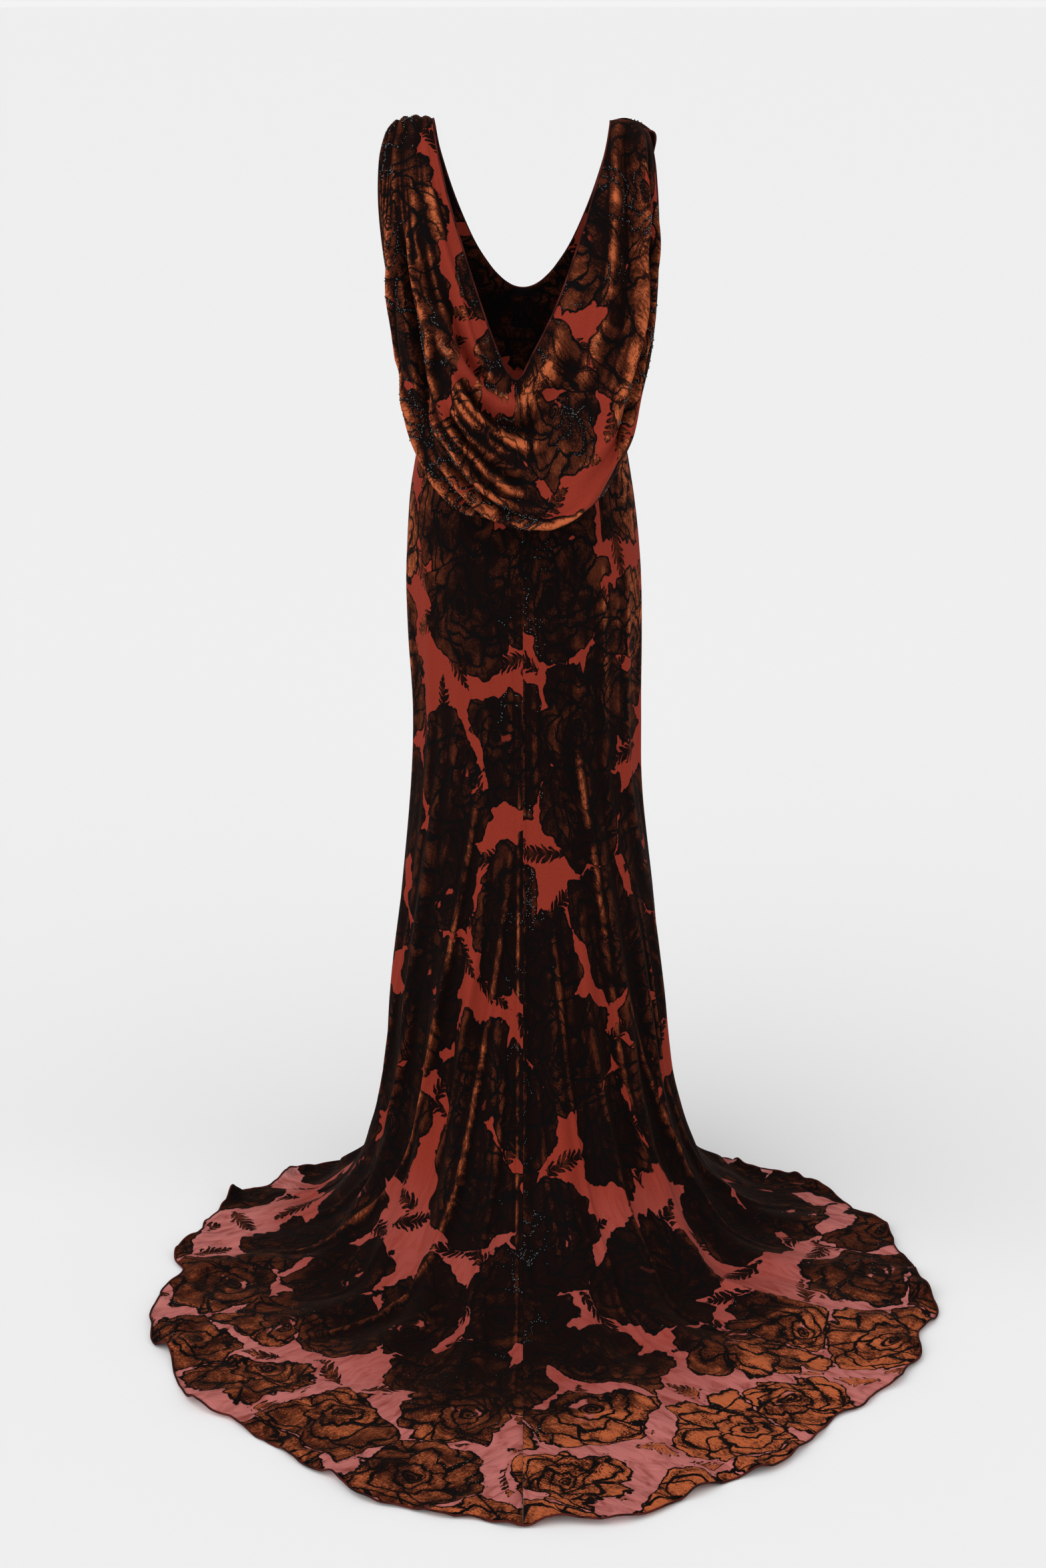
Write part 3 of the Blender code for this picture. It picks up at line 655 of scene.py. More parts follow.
# place between the strap's edges, how far each gather stands out
STRAP_GATHERS = (
    (0.12, 0.0022),
    (0.27, 0.0030),
    (0.42, 0.0026),
    (0.58, 0.0032),
    (0.74, 0.0024),
)
FINE_GATHERS = (
    (0.06, 0.0008),
    (0.19, -0.0010),
    (0.345, -0.0012),
    (0.50, -0.0012),
    (0.66, -0.0012),
    (0.82, 0.0012),
    (0.90, -0.0010),
)
GATHER_HALF_WIDTH = 0.0055
FINE_GATHER_HALF_WIDTH = 0.0028
GATHER_END = 4.0
GATHER_FADE = 1.5
CREST_FADE = 1.1
COWL_CREST_SIZE = 1.85
COWL_CLOTH = ((1, 1, 3), 0.03, 0.09, 21)
COWL_CLOTH_LIFT = 0.0007
BODICE_CLOTH = ((1, 1, 2.5), 0.04, 0.12, 33)
BODICE_CLOTH_LIFT = 0.0009
print("cowl folds:", len(COWL_FOLDS), "broad,", len(COWL_CRESTS), "narrow")

# %% [markdown]
# A fold of the cowl is a line from one section to another, which fades at both ends. Its width is
# in metres, so it stays as narrow where the cowl spreads as on the strap.

# %% Drape the cowl and close the front


def cowl_lift(places, across, width, folds, gathers, gather_half_width):
    """How far the cowl's folds stand out at each point, on sections of the given widths."""
    total = np.zeros((len(across), len(places)))
    size = np.minimum(width / FULL_FOLD_SECTION, 1)
    for first, start, last, end, half_width, lift in folds:
        share = (places - first) / (last - first)
        line = start + (end - start) * np.clip(share, 0, 1)
        fade = ease(share / FOLD_FADE) * ease((1 - share) / FOLD_FADE)
        total += lift * size * ridge((across[:, None] - line) * width, half_width) * fade
    for place, lift in gathers:
        fade = ease((GATHER_END - places) / GATHER_FADE)
        total += lift * ridge((across[:, None] - place) * width, gather_half_width) * fade
    return total


def cowl_crests(places, across, width):
    """How far the cowl's narrow folds stand out, and how much painted highlight each point of them
    gets.
    """
    total = np.zeros((len(across), len(places)))
    painted_light = np.zeros(total.shape)
    for half_width, lift, shine, path in COWL_CRESTS:
        stations, lines = zip(*sorted(path))
        away = (across[:, None] - np.interp(places, stations, lines)) * width
        fade = ease(places - stations[0], 0, CREST_FADE)
        fade = fade * ease(stations[-1] - places, 0, CREST_FADE)
        total += lift * COWL_CREST_SIZE * ridge(away, half_width) * fade
        painted_light = np.maximum(painted_light, shine * ridge(away, half_width) * fade)
    return total, painted_light


def cowl_surface(rows, columns, fold_size=1.0):
    """Outer face of the draped back, and the painted highlight of its narrow folds."""
    pieces = (
        (0, 5, stretch(BACK_ARMHOLE_LEFT)),
        (5, 6, stretch(side_seam(-1, SEAM_GAP / 2))),
        (6, 11, waist_arc(COWL_WAIST_DIRECTIONS)),
        (11, 13, stretch(side_seam(1, SEAM_GAP / 2)[::-1])),
        (13, 17, stretch(BACK_ARMHOLE_RIGHT[::-1])),
    )
    places, lines = section_lines(COWL_SECTIONS, columns)
    edge = edge_points(pieces, places)
    tuck = edge + (lines[-1] - edge) * TUCK_SHARE
    tuck[:, 2] = np.maximum(tuck[:, 2], WAIST_HEIGHT + TUCK_CLEARANCE)
    across = np.interp(np.linspace(0, 1, rows), (0, FOLDED_ROWS, 1), (0, FOLDED_WIDTH, 1))
    grid = band_surface(lines + [tuck, edge], across)
    width = np.linalg.norm(np.diff(grid, axis=0), axis=2).sum(axis=0)
    lift = cowl_lift(places, across, width, COWL_FOLDS, STRAP_GATHERS, GATHER_HALF_WIDTH)
    lift += cowl_lift(places, across, width, (), FINE_GATHERS, FINE_GATHER_HALF_WIDTH)
    crest, crest_highlight = cowl_crests(places, across, width)
    lift += crest
    calm = ease(across, 0, 0.05) * (1 - ease(across, 0.55, 0.8))
    lift += COWL_CLOTH_LIFT * crumple(grid, *COWL_CLOTH) * calm[:, None]
    return grid + outward(grid) * lift[:, :, None] * fold_size, crest_highlight


def mirrored(points):
    """The same points on the other side of the dress."""
    return [(-x, behind, height) for x, behind, height in points]


def bodice_surface(rows, columns):
    """Outer face of the plain front, from the right shoulder to the left, with no crests."""
    left = [COWL_SECTIONS[0][:3]] + list(BODICE_SECTIONS)
    right = [COWL_SECTIONS[-1][:3]] + [mirrored(row) for row in BODICE_SECTIONS[:-1]]
    left_side = side_seam(-1, -SEAM_GAP / 2)
    right_side = side_seam(1, -SEAM_GAP / 2)
    left_arm = [BACK_ARMHOLE_LEFT[0], *FRONT_ARMHOLE, left_side[0]]
    right_arm = [BACK_ARMHOLE_RIGHT[0], *mirrored(FRONT_ARMHOLE), right_side[0]]
    pieces = (
        (0, 5, stretch(right_arm)),
        (5, 7, stretch(right_side)),
        (7, 9, waist_arc([-turn for turn in BODICE_WAIST_DIRECTIONS])),
        (9, 11, waist_arc(BODICE_WAIST_DIRECTIONS[::-1])),
        (11, 13, stretch(left_side[::-1])),
        (13, 18, stretch(left_arm[::-1])),
    )
    places, lines = section_lines(right + left[::-1], columns)
    across = np.linspace(0, 1, rows)
    grid = band_surface(lines + [edge_points(pieces, places)], across)
    calm = ease(across, 0, 0.12) * ease(1 - across, 0, 0.12)
    lift = BODICE_CLOTH_LIFT * crumple(grid, *BODICE_CLOTH) * calm[:, None]
    return grid + outward(grid) * lift[:, :, None], 0.0


print("the cowl hangs down to", round(cowl_surface(60, 120)[0][:, :, 2].min(), 3), "m")

# %% [markdown]
# ## The flat pattern
#
# The roses were printed on flat cloth before it was cut, so they must not stretch where the dress
# widens. Each panel is laid flat here: its grid starts from a rough guess and relaxes until its
# threads have their real lengths again. The result is the panel's UV map, in metres, and also the
# size that the panel was cut to.

# %% Lay a panel flat
# threads of the grid that keep their length: steps down and to the right
THREADS = ((1, 0), (0, 1), (1, 1), (1, -1))
RELAX_ROUNDS = 900
RELAX_PUSH = 1.6
# how many neighbours on each side are averaged, and how often, before a panel is rolled out
FAN_REACH = 3
FAN_ROUNDS = 2
STRIP_REACH = 2


def shifted(array, down, right):
    """Two views of a grid: its points, and those one thread further on."""
    rows, columns = array.shape[:2]
    if right >= 0:
        return array[: rows - down, : columns - right], array[down:, right:]
    return array[: rows - down, -right:], array[down:, : columns + right]


def lay_flat(points, start):
    """Flat places of a grid of points, with every thread at its real length, in metres."""
    flat = start.copy()
    rests = []
    for down, right in THREADS:
        near, far = shifted(points, down, right)
        rests.append(np.linalg.norm(far - near, axis=2))
    for _ in range(RELAX_ROUNDS):
        push = np.zeros_like(flat)
        count = np.zeros(flat.shape[:2])
        for (down, right), rest in zip(THREADS, rests):
            near, far = shifted(flat, down, right)
            gap = far - near
            size = np.linalg.norm(gap, axis=2) + 1e-9
            move = gap * (0.5 * (size - rest) / size)[:, :, None]
            push_near, push_far = shifted(push, down, right)
            count_near, count_far = shifted(count, down, right)
            push_near += move
            push_far -= move
            count_near += 1
            count_far += 1
        flat += push / count[:, :, None] * RELAX_PUSH
    return flat


def refine(coarse, rows, columns):
    """A finer grid on smooth curves through a coarse one."""
    tall = smooth(coarse, np.linspace(0, coarse.shape[0] - 1, rows))
    wide = smooth(tall.swapaxes(0, 1), np.linspace(0, coarse.shape[1] - 1, columns))
    return wide.swapaxes(0, 1)


def lengths(points, axis):
    """Distance travelled along a grid's rows or columns, from 0."""
    steps = np.linalg.norm(np.diff(points, axis=axis), axis=2)
    start = np.zeros_like(np.take(steps, [0], axis=axis))
    return np.concatenate([start, np.cumsum(steps, axis=axis)], axis=axis)


def averaged(values, axis, reach):
    """Values averaged with their neighbours along one axis of a grid."""
    margin = [(0, 0)] * values.ndim
    margin[axis] = (reach, reach)
    total = np.cumsum(np.pad(values, margin, mode="edge"), axis=axis)
    total = np.concatenate([np.zeros_like(np.take(total, [0], axis=axis)), total], axis=axis)
    size = 2 * reach + 1
    count = total.shape[axis]
    above = np.take(total, range(size, count), axis=axis)
    return (above - np.take(total, range(count - size), axis=axis)) / size


print("threads of the grid:", len(THREADS), "rounds of relaxing:", RELAX_ROUNDS)

# %% [markdown]
# The relaxing needs a start without overlaps. A skirt panel starts as a fan that opens as fast as
# the panel widens. A band, such as the cowl, starts as a strip whose middle line turns as fast as
# one of its edges outruns the other.

# %% Roll out fans and strips


def fan_start(points):
    """First guess of a skirt panel laid flat: its threads lean apart as the panel widens."""
    down = np.linalg.norm(np.diff(points, axis=0), axis=2)
    apart = np.linalg.norm(np.diff(points, axis=1), axis=2)
    widening = 2 * np.diff(apart, axis=0) / (down[:, 1:] + down[:, :-1])
    for _ in range(FAN_ROUNDS):
        widening = averaged(averaged(widening, 0, FAN_REACH), 1, FAN_REACH)
    lean = np.concatenate([np.zeros((len(widening), 1)), np.cumsum(widening, axis=1)], axis=1)
    lean -= lean[:, [lean.shape[1] // 2]]
    heading = np.stack([np.sin(lean), np.cos(lean)], axis=2)
    top = lengths(points[:1], axis=1)[0]
    first = np.stack([top, np.zeros_like(top)], axis=1)[None]
    return np.concatenate([first, first + np.cumsum(heading * down[:, :, None], axis=0)])


def strip_start(points):
    """First guess of a band laid flat: its middle line turns as one edge outruns the other."""
    across = lengths(points, axis=0)
    offset = across - across[-1:] / 2
    step = np.linalg.norm(np.diff(points, axis=1), axis=2)
    away = 0.5 * (offset[:, 1:] + offset[:, :-1])
    spread = away - away.mean(axis=0)
    outrun = (spread * step).sum(axis=0) / (spread ** 2).sum(axis=0)
    along = step.mean(axis=0) - outrun * away.mean(axis=0)
    turn = np.concatenate([[0], np.cumsum(averaged(outrun, 0, STRIP_REACH))])
    half = 0.5 * (turn[1:] + turn[:-1])
    steps = np.stack([np.cos(half), np.sin(half)], axis=1) * along[:, None]
    middle = np.concatenate([[[0, 0]], np.cumsum(steps, axis=0)])
    side = np.stack([np.sin(turn), -np.cos(turn)], axis=1)
    return middle[None] + offset[:, :, None] * side[None]


# %% [markdown]
# ## The cloth
#
# Each panel becomes a thin closed shell: a grid of points for the outer face, then a Solidify
# modifier for the thickness. Four values are kept on the points for the finish: the painted sheen
# and shade of the pile, the painted highlight of its crests, how sheer the ground is, and where
# beads may be sewn.

# %% Build one panel
CLOTH_THICKNESS = 0.0011
cloth_faces = {}


def added(name, data):
    """A new object in the scene."""
    item = bpy.data.objects.new(name, data)
    bpy.context.scene.collection.objects.link(item)
    return item


def grid_mesh(name, across, down):
    """A flat grid as a new mesh."""
    build = bmesh.new()
    bmesh.ops.create_grid(build, x_segments=across, y_segments=down, size=1)
    mesh = bpy.data.meshes.new(name)
    build.to_mesh(mesh)
    build.free()
    return mesh


def from_shoulders(points):
    """The points with their heights measured from the shoulders, not from the floor."""
    return points - np.array([0, 0, SHOULDER_HEIGHT])


def fill(layer, key, values):
    """Copy an array into one field of a mesh's points, corners or attribute."""
    layer.foreach_set(key, np.ascontiguousarray(values, dtype=np.float32).ravel())


def cloth_face(name, points, flat, values):
    """The outer face of one panel, as an open grid with its flat places as UVs."""
    mesh = grid_mesh(name, points.shape[1] - 1, points.shape[0] - 1)
    fill(mesh.vertices, "co", from_shoulders(points))
    corners = np.zeros(len(mesh.loops), dtype=np.int32)
    mesh.loops.foreach_get("vertex_index", corners)
    places = flat.reshape(-1, 2)
    fill(mesh.uv_layers.new(name="flat_pattern").data, "uv", places[corners])
    flat_place = mesh.attributes.new("flat_place", "FLOAT_VECTOR", "POINT")
    fill(flat_place.data, "vector", np.pad(places, ((0, 0), (0, 1))))
    for key, numbers in values.items():
        fill(mesh.attributes.new(key, "FLOAT", "POINT").data, "value", numbers)
    mesh.update()
    middle = mesh.polygons[len(mesh.polygons) // 2]
    wanted = outward(points).reshape(-1, 3)[middle.vertices[0]]
    if np.dot(middle.normal, wanted) < 0:
        mesh.flip_normals()
    mesh.shade_smooth()
    return added(name, mesh)


def plain_mesh(item, name):
    """The evaluated object as a new object with a plain mesh. The old one loses its modifiers."""
    bpy.context.view_layer.update()
    evaluated = item.evaluated_get(bpy.context.evaluated_depsgraph_get())
    mesh = bpy.data.meshes.new_from_object(evaluated)
    item.modifiers.clear()
    mesh.name = name
    print(name, "faces:", len(mesh.polygons))
    return added(name, mesh)


def cloth_shell(name, points, flat, values):
    """One panel as a closed shell. Its outer face is kept aside for the beads."""
    face = cloth_face(name + "_face", points, flat, values)
    wall = face.modifiers.new("thickness", "SOLIDIFY")
    wall.thickness = CLOTH_THICKNESS
    wall.offset = -1
    cloth_faces[name] = face
    return plain_mesh(face, name)


# %% [markdown]
# The pile of the velvet looks dark from most sides and copper where the light strikes across it:
# on the crests of folds, on the cloth that faces up, and on the near part of the train. That copper
# is painted sheen in the colour: its share is worked out from the way that the cloth faces, and
# stays with the cloth in every view.

# %% Painted sheen: how the pile catches the light
LIGHT_SIDE = np.array((-0.50, -0.38, 0.78))
# train rays in degrees, and how much painted sheen the pile gets along them
TRAIN_GLOW_RAYS = (-98, -72, -55, -38, -22, -6, 4, 18, 38, 50, 64, 98)
TRAIN_GLOW = (0.08, 0.22, 0.42, 0.54, 0.54, 0.52, 0.92, 1.08, 1.02, 0.74, 0.30, 0.08)
# painted light of the skirt: sheen all over, higher up, on the sides of the hips and on folds,
# shade in valleys, and the strength of the highlight on crests
SKIRT_GLOW = 0.01
UPPER_GLOW = 0.06
HIP_GLOW = 0.55
FOLD_GLOW = 0.17
VALLEY_SHADE = 0.10
CREST_GLOW = 1.35
# painted light of the bodice: sheen all over, where it faces the light and on folds, shade in
# valleys, and highlight on crests in the sheen and in the crest value
BAND_GLOW = 0.12
BAND_LIT_GLOW = 0.25
BAND_FOLD_GLOW = 0.30
BAND_VALLEY_SHADE = 0.55
BAND_CREST_GLOW = 0.52
BAND_CREST_SHINE = 0.32
# height where the straps keep the least painted light, and the share of it that they keep there
STRAP_TOP = 1.500
STRAP_GLOW = 0.35


def facing_light(normal, low, high):
    """How squarely the cloth faces the light, as a soft step."""
    return ease(normal @ (LIGHT_SIDE / np.linalg.norm(LIGHT_SIDE)), low, high)


print("cloth that faces up is lit:", round(facing_light(np.array([0, 0, 1]), 0.30, 0.90), 2))

# %% [markdown]
# The bend of the cloth is measured too: painted highlight goes along sharp outward bends, and
# painted shade into the valleys beside them. The rest of the painted light follows the height and
# the rays of the train on the skirt, and the side that the light comes from on the bodice.

# %% Painted light, sheerness and beads


def bulge(points):
    """How sharply the cloth is bent outwards at each point, in 1/m; less than 0 in a valley."""
    normal = outward(points)
    total = np.zeros(points.shape[:2])
    for axis in (0, 1):
        step = np.diff(points, axis=axis)
        size = np.linalg.norm(step, axis=2, keepdims=True) + 1e-9
        count = size.shape[axis]
        before = np.take(size, range(count - 1), axis=axis)
        after = np.take(size, range(1, count), axis=axis)
        bend = np.diff(step / size, axis=axis) * 2 / (before + after)
        margin = [(0, 0), (0, 0), (0, 0)]
        margin[axis] = (1, 1)
        total -= (np.pad(bend, margin, mode="edge") * normal).sum(axis=2)
    return total


def skirt_values(points, direction, on_train, crest_highlight):
    """Painted sheen and shade, painted crest highlight, sheerness and bead density of a skirt panel.
    """
    sideways = np.abs(outward(points)[:, :, 0])
    height = points[:, :, 2]
    bent = bulge(points)
    # painted sheen on the near train, the sides of the hips and the upper skirt, where the pile is
    # lit across
    painted_light = np.interp(direction, TRAIN_GLOW_RAYS, TRAIN_GLOW)[None, :] * ease(on_train, 0.12, 0.62)
    painted_light += HIP_GLOW * ease(sideways, 0.50, 0.95) * ease(height, 0.60, 0.90)
    painted_light += SKIRT_GLOW + UPPER_GLOW * ease(height, 0.55, 1.00)
    # painted highlight on outward bends and painted shade in the valleys
    painted_light += FOLD_GLOW * ease(bent, 15, 90) * ease(height, 0.05, 0.2)
    painted_light -= VALLEY_SHADE * ease(-bent, 10, 80)
    # painted highlight along the crests, weaker on the train
    crest = CREST_GLOW * crest_highlight * (1 - 0.6 * ease(on_train, 0.4, 0.9))
    # how sheer the chiffon is; where it is sheer, the pale floor's light is also painted into its
    # colour
    sheer = 0.20 * ease(0.16 - height, 0, 0.12) + 0.80 * ease(on_train, 0.05, 0.70)
    beads = 0.8 * ridge(points[:, :, 0], 0.045) * (np.abs(direction) < 60)
    beads = beads * (1 - ease(on_train, 0.3, 0.8)) + 0.10 * ease(on_train, 0, 0.4)
    values = {"painted_light": np.clip(painted_light, -0.1, 1), "crest": crest}
    return {**values, "sheer": sheer, "beads": np.clip(beads, 0, 1)}


def band_values(points, beads, crest_highlight):
    """Painted sheen and shade, painted crest highlight, sheerness and bead density of a bodice
    piece.
    """
    bent = bulge(points)
    # painted sheen where the cloth faces the light and on the crests
    painted_light = BAND_GLOW + BAND_LIT_GLOW * facing_light(outward(points), 0.30, 0.90)
    painted_light += BAND_CREST_GLOW * crest_highlight
    # painted highlight on outward bends and painted shade in the valleys; less painted light at the
    # strap tops
    painted_light += BAND_FOLD_GLOW * ease(bent, 30, 200) - BAND_VALLEY_SHADE * ease(-bent, 8, 90)
    painted_light *= STRAP_GLOW + (1 - STRAP_GLOW) * ease(STRAP_TOP - points[:, :, 2], 0, 0.12)
    none = np.zeros(points.shape[:2])
    values = {"painted_light": np.clip(painted_light, 0, 1), "crest": none + BAND_CREST_SHINE * crest_highlight}
    return {**values, "sheer": none, "beads": none + beads}


# %% [markdown]
# Each panel is laid flat from a coarse grid. Its folds are made deeper there, because real folds
# hold more cloth than shows. On the slim part of the skirt the print is drawn together sideways,
# since the bias-cut cloth hangs long and narrow there, so its roses look narrower than those of
# the train.

# %% Make the five panels
COARSE_SKIRT = (46, 34)
COARSE_COWL = (30, 90)
COARSE_BODICE = (20, 60)
COWL_DETAIL = (118, 400)
BODICE_DETAIL = (60, 181)
HIDDEN_CLOTH = 1.5
PRINT_SQUEEZE = 0.38
# half the gap between two skirt panels, in degrees
SEAM_TURN = 0.02
TURNS_TRIED = np.radians(np.arange(0, 90, 3))


def panel_flat(name, coarse, start, offset, rows, columns):
    """A panel's flat places at full detail."""
    flat = lay_flat(coarse, start)
    quad = np.cross(flat[1:, 1:] - flat[:-1, :-1], flat[1:, :-1] - flat[:-1, 1:])
    middle = flat.reshape(-1, 2)
    middle = middle - middle.mean(axis=0)
    for turn in TURNS_TRIED:
        turning = np.array([[np.cos(turn), -np.sin(turn)], [np.sin(turn), np.cos(turn)]])
        np.ptp(middle @ turning, axis=0)
    return refine(flat, rows, columns) + np.array(offset)


def skirt_panel(name, first, last, rows, columns, offset):
    """One skirt panel between two seams, in degrees."""
    coarse_direction = turned(np.linspace(first, last, COARSE_SKIRT[1]))
    coarse = skirt_surface(coarse_direction, COARSE_SKIRT[0], HIDDEN_CLOTH)[0]
    flat = panel_flat(name, coarse, fan_start(coarse), offset, rows, columns)
    cling = 1 + PRINT_SQUEEZE * ease(np.linspace(1, 0, rows), 0.15, 0.60)[:, None]
    middle = flat[:, columns // 2, 0][:, None]
    flat[:, :, 0] = middle + (flat[:, :, 0] - middle) * cling
    direction = turned(np.linspace(first, last, columns))
    points, on_train, crest_highlight = skirt_surface(direction, rows)
    points[0, :, 2] -= SEAM_GAP / 2
    values = skirt_values(points, direction, on_train, crest_highlight)
    return cloth_shell(name, points, flat, values)


def band_panel(name, surface, detail, coarse, offset, beads):
    """A bodice piece, from the function that gives its surface and a coarse grid of it."""
    flat = panel_flat(name, coarse, strip_start(coarse), offset, *detail)
    points, crest_highlight = surface(*detail)
    return points, cloth_shell(name, points, flat, band_values(points, beads, crest_highlight))


side = SIDE_SEAM_DIRECTION - SEAM_TURN
back_left = skirt_panel("skirt_back_left", -side, -SEAM_TURN, 200, 170, (34.9, -34.1))
back_right = skirt_panel("skirt_back_right", SEAM_TURN, side, 200, 170, (-15.3, 9.1))
side = SIDE_SEAM_DIRECTION + SEAM_TURN
front = skirt_panel(
    "skirt_front", side, 360 - SIDE_SEAM_DIRECTION - SEAM_TURN, 150, 130, (14.9, 9.3)
)
cowl_points, cowl = band_panel(
    "cowl", cowl_surface, COWL_DETAIL, cowl_surface(*COARSE_COWL, HIDDEN_CLOTH)[0],
    (17.3, -11.2), 1.0,
)
bodice_points, bodice = band_panel(
    "bodice_front", bodice_surface, BODICE_DETAIL, bodice_surface(*COARSE_BODICE)[0],
    (27.2, 6.8), 0.35,
)

# %% [markdown]
# ## Nodes as arithmetic
#
# A finish is a long sum of small steps, which is easier to read as arithmetic than as a web of
# boxes. A Wire wraps one socket. Adding, multiplying or comparing wires adds the Math nodes, and
# one method of the Board adds any other node. The same code serves shaders and Geometry Nodes.

# %% Wires and boards


class Wire:
    """One output socket that can be used in arithmetic."""

    def __init__(self, board, node, output=0):
        self.board = board
        self.maker = node
        self.socket = node.outputs[output] if len(node.outputs) else None

    def other(self, output):
        """Another output of the same node."""
        return Wire(self.board, self.maker, output)

    def __add__(self, other):
        return self.board.maths("ADD", self, other)

    __radd__ = __add__

    def __sub__(self, other):
        return self.board.maths("SUBTRACT", self, other)

    def __rsub__(self, other):
        return self.board.maths("SUBTRACT", other, self)

    def __mul__(self, other):
        return self.board.maths("MULTIPLY", self, other)

    __rmul__ = __mul__

    def __truediv__(self, other):
        return self.board.maths("DIVIDE", self, other)

    def __abs__(self):
        return self.board.maths("ABSOLUTE", self)

    def least(self, other):
        return self.board.maths("MINIMUM", self, other)

    def most(self, other):
        return self.board.maths("MAXIMUM", self, other)

    def cosine(self):
        return self.board.maths("COSINE", self)

    def root(self):
        return self.board.maths("SQRT", self)

    def step(self, low, high):
        """0 up to low, 1 from high on, and a soft step between them."""
        inputs = {"Value": self, "From Min": low, "From Max": high}
        return self.board.add("ShaderNodeMapRange", inputs, interpolation_type="SMOOTHSTEP")


class Board:
    """A node tree, with one method that adds a node to it."""

    def __init__(self, tree):
        self.tree = tree

    def add(self, kind, inputs=None, output=0, **settings):
        """Add a node with its settings, and values or wires in its sockets."""
        node = self.tree.nodes.new(kind)
        for key, value in settings.items():
            setattr(node, key, value)
        for key, value in (inputs or {}).items():
            if isinstance(value, Wire):
                self.tree.links.new(value.socket, node.inputs[key])
            else:
                node.inputs[key].default_value = value
        return Wire(self, node, output)

    def maths(self, operation, *values):
        """A Math node on these numbers."""
        return self.add("ShaderNodeMath", dict(enumerate(values)), operation=operation)

    def vectors(self, operation, *values):
        """A Vector Math node on these vectors."""
        return self.add("ShaderNodeVectorMath", dict(enumerate(values)), operation=operation)

    def parts(self, vector):
        """The three numbers of a vector or colour."""
        split = self.add("ShaderNodeSeparateXYZ", {"Vector": vector})
        return split, split.other(1), split.other(2)

    def blend(self, share, first, second):
        """A mix of two colours."""
        inputs = {0: share, 6: first, 7: second}
        return self.add("ShaderNodeMix", inputs, 2, data_type="RGBA")

    def raised(self, height, strength):
        """The direction of a surface that a height in metres raises."""
        inputs = {"Height": height, "Strength": strength, "Distance": 1.0}
        return self.add("ShaderNodeBump", inputs, "Normal")

    def surface(self, inputs):
        """A Principled shader with these values."""
        return self.add("ShaderNodeBsdfPrincipled", inputs)

    def finish(self, shader):
        """Make this shader the material's surface."""
        self.add("ShaderNodeOutputMaterial", {"Surface": shader})


# %% [markdown]
# ## The roses
#
# No drawing is used. The flat cloth is divided into uneven cells, and each cell grows one rose of
# its own size and turn. Its edge swells into petals, smaller rings of petals lie inside it, and
# its heart is a tight coil. Small sprigs fill the gaps. Lines are measured in metres, so that they
# are as wide as on real cloth. The layout and the shapes are the script's own.

# %% Grow roses and sprigs
FULL_TURN = 2 * np.pi
ROSE_STEP = 0.150
ROSE_RADIUS = 0.096
ROSE_SCATTER = 0.85
# scale of the noise that makes the outlines wander, its roughness, and how far they go
ROSE_WANDER = (17.0, 0.42, 0.034)
SPRIG_WANDER = (70.0, 0.50, 0.010)
# share of the rose's radius, number of petals, starting angle
PETAL_RINGS = (
    (0.71, 5, 0.4),
    (0.45, 3, 1.7),
    (0.25, 2, 2.9),
)
OUTER_PETALS = 6
EDGE_SCALLOPS = 17
HEART_SHARE = 0.13
HEART_LINE = 0.0070
# how steeply the petal lines end outside their own ring
LINE_END = 6
PETAL_SWING = 2.6
# widest gap of chiffon between two roses that meet, and what is given back to all, in metres
CHANNEL_WIDTH = 0.024
CHANNEL_FILL = 0.0045
SLIT_DEPTH = 0.0060
SPRIG_STEP = 0.080
SPRIG_SCATTER = 0.9
SPRIG_LENGTH = 0.042
SPRIG_WIDTH = 0.0165
SPRIG_STEM = 0.0016
SPRIG_MARGIN = 0.0035
LEAFLET_STEP = 0.0105
LEAFLET_SWEEP = 1.1


def noise(board, place, scale, detail=2.0, rough=0.5, bend=0.0):
    """An even noise around 0.5 on the flat cloth."""
    inputs = {
        "Vector": place, "Scale": scale, "Detail": detail, "Roughness": rough, "Distortion": bend
    }
    return board.add("ShaderNodeTexNoise", inputs, "Fac", noise_dimensions="2D")


def wandering(board, place, scale, rough, reach):
    """The places, moved to and fro by a noise."""
    shift = noise(board, place, scale, 2.0, rough).other("Color")
    return board.vectors("MULTIPLY_ADD", shift, (reach, reach, 0.0), place)


def radius(x, y):
    """Distance from the middle."""
    return (x * x + y * y).root()


def cells(board, place, size, scatter, output, feature="F1"):
    """One output of an uneven pattern of cells."""
    inputs = {"Vector": place, "Scale": 1 / size, "Randomness": scatter}
    settings = {"voronoi_dimensions": "2D", "feature": feature}
    return board.add("ShaderNodeTexVoronoi", inputs, output, **settings)


def own_cell(board, place, size, scatter):
    """Where a place lies from the middle of its cell, and three chance numbers of the cell."""
    cell = cells(board, place, size, scatter, "Position")
    x, y, _ = board.parts(board.vectors("SUBTRACT", place, cell))
    return x, y, board.parts(cell.other("Color"))


print("per square metre: roses", round(ROSE_STEP ** -2), "sprigs", round(SPRIG_STEP ** -2))

# %% [markdown]
# Inside the edge of a rose lie rings of petals, each with its own number of them, and short lines
# that part them. The distance to the nearest of these lines is worked out once, since both the
# black lines and the beads follow it.

# %% Petals, hearts and leaf sprigs


def petal_lines(turn, reach, size, edge, lines, chance):
    """Distance to the nearest line of the rings of petals inside a rose."""
    outer_petals, outer_start, outer_edge = OUTER_PETALS, 0.0, edge
    for share, petals, start in PETAL_RINGS:
        bow = abs((turn * (petals / 2) + start + chance * 4).cosine())
        ring = share * (0.86 + 0.24 * bow) * edge
        lines = lines.least(abs(reach - ring) * size)
        swing = turn * (outer_petals / 2) + outer_start + (reach - outer_edge) * PETAL_SWING
        fork = abs(swing.cosine()) * reach * size * (2 / outer_petals)
        lines = lines.least(fork + (ring - reach).most(0) * size * LINE_END)
        outer_petals, outer_edge = petals, ring
        outer_start = start + chance * 4
    return lines


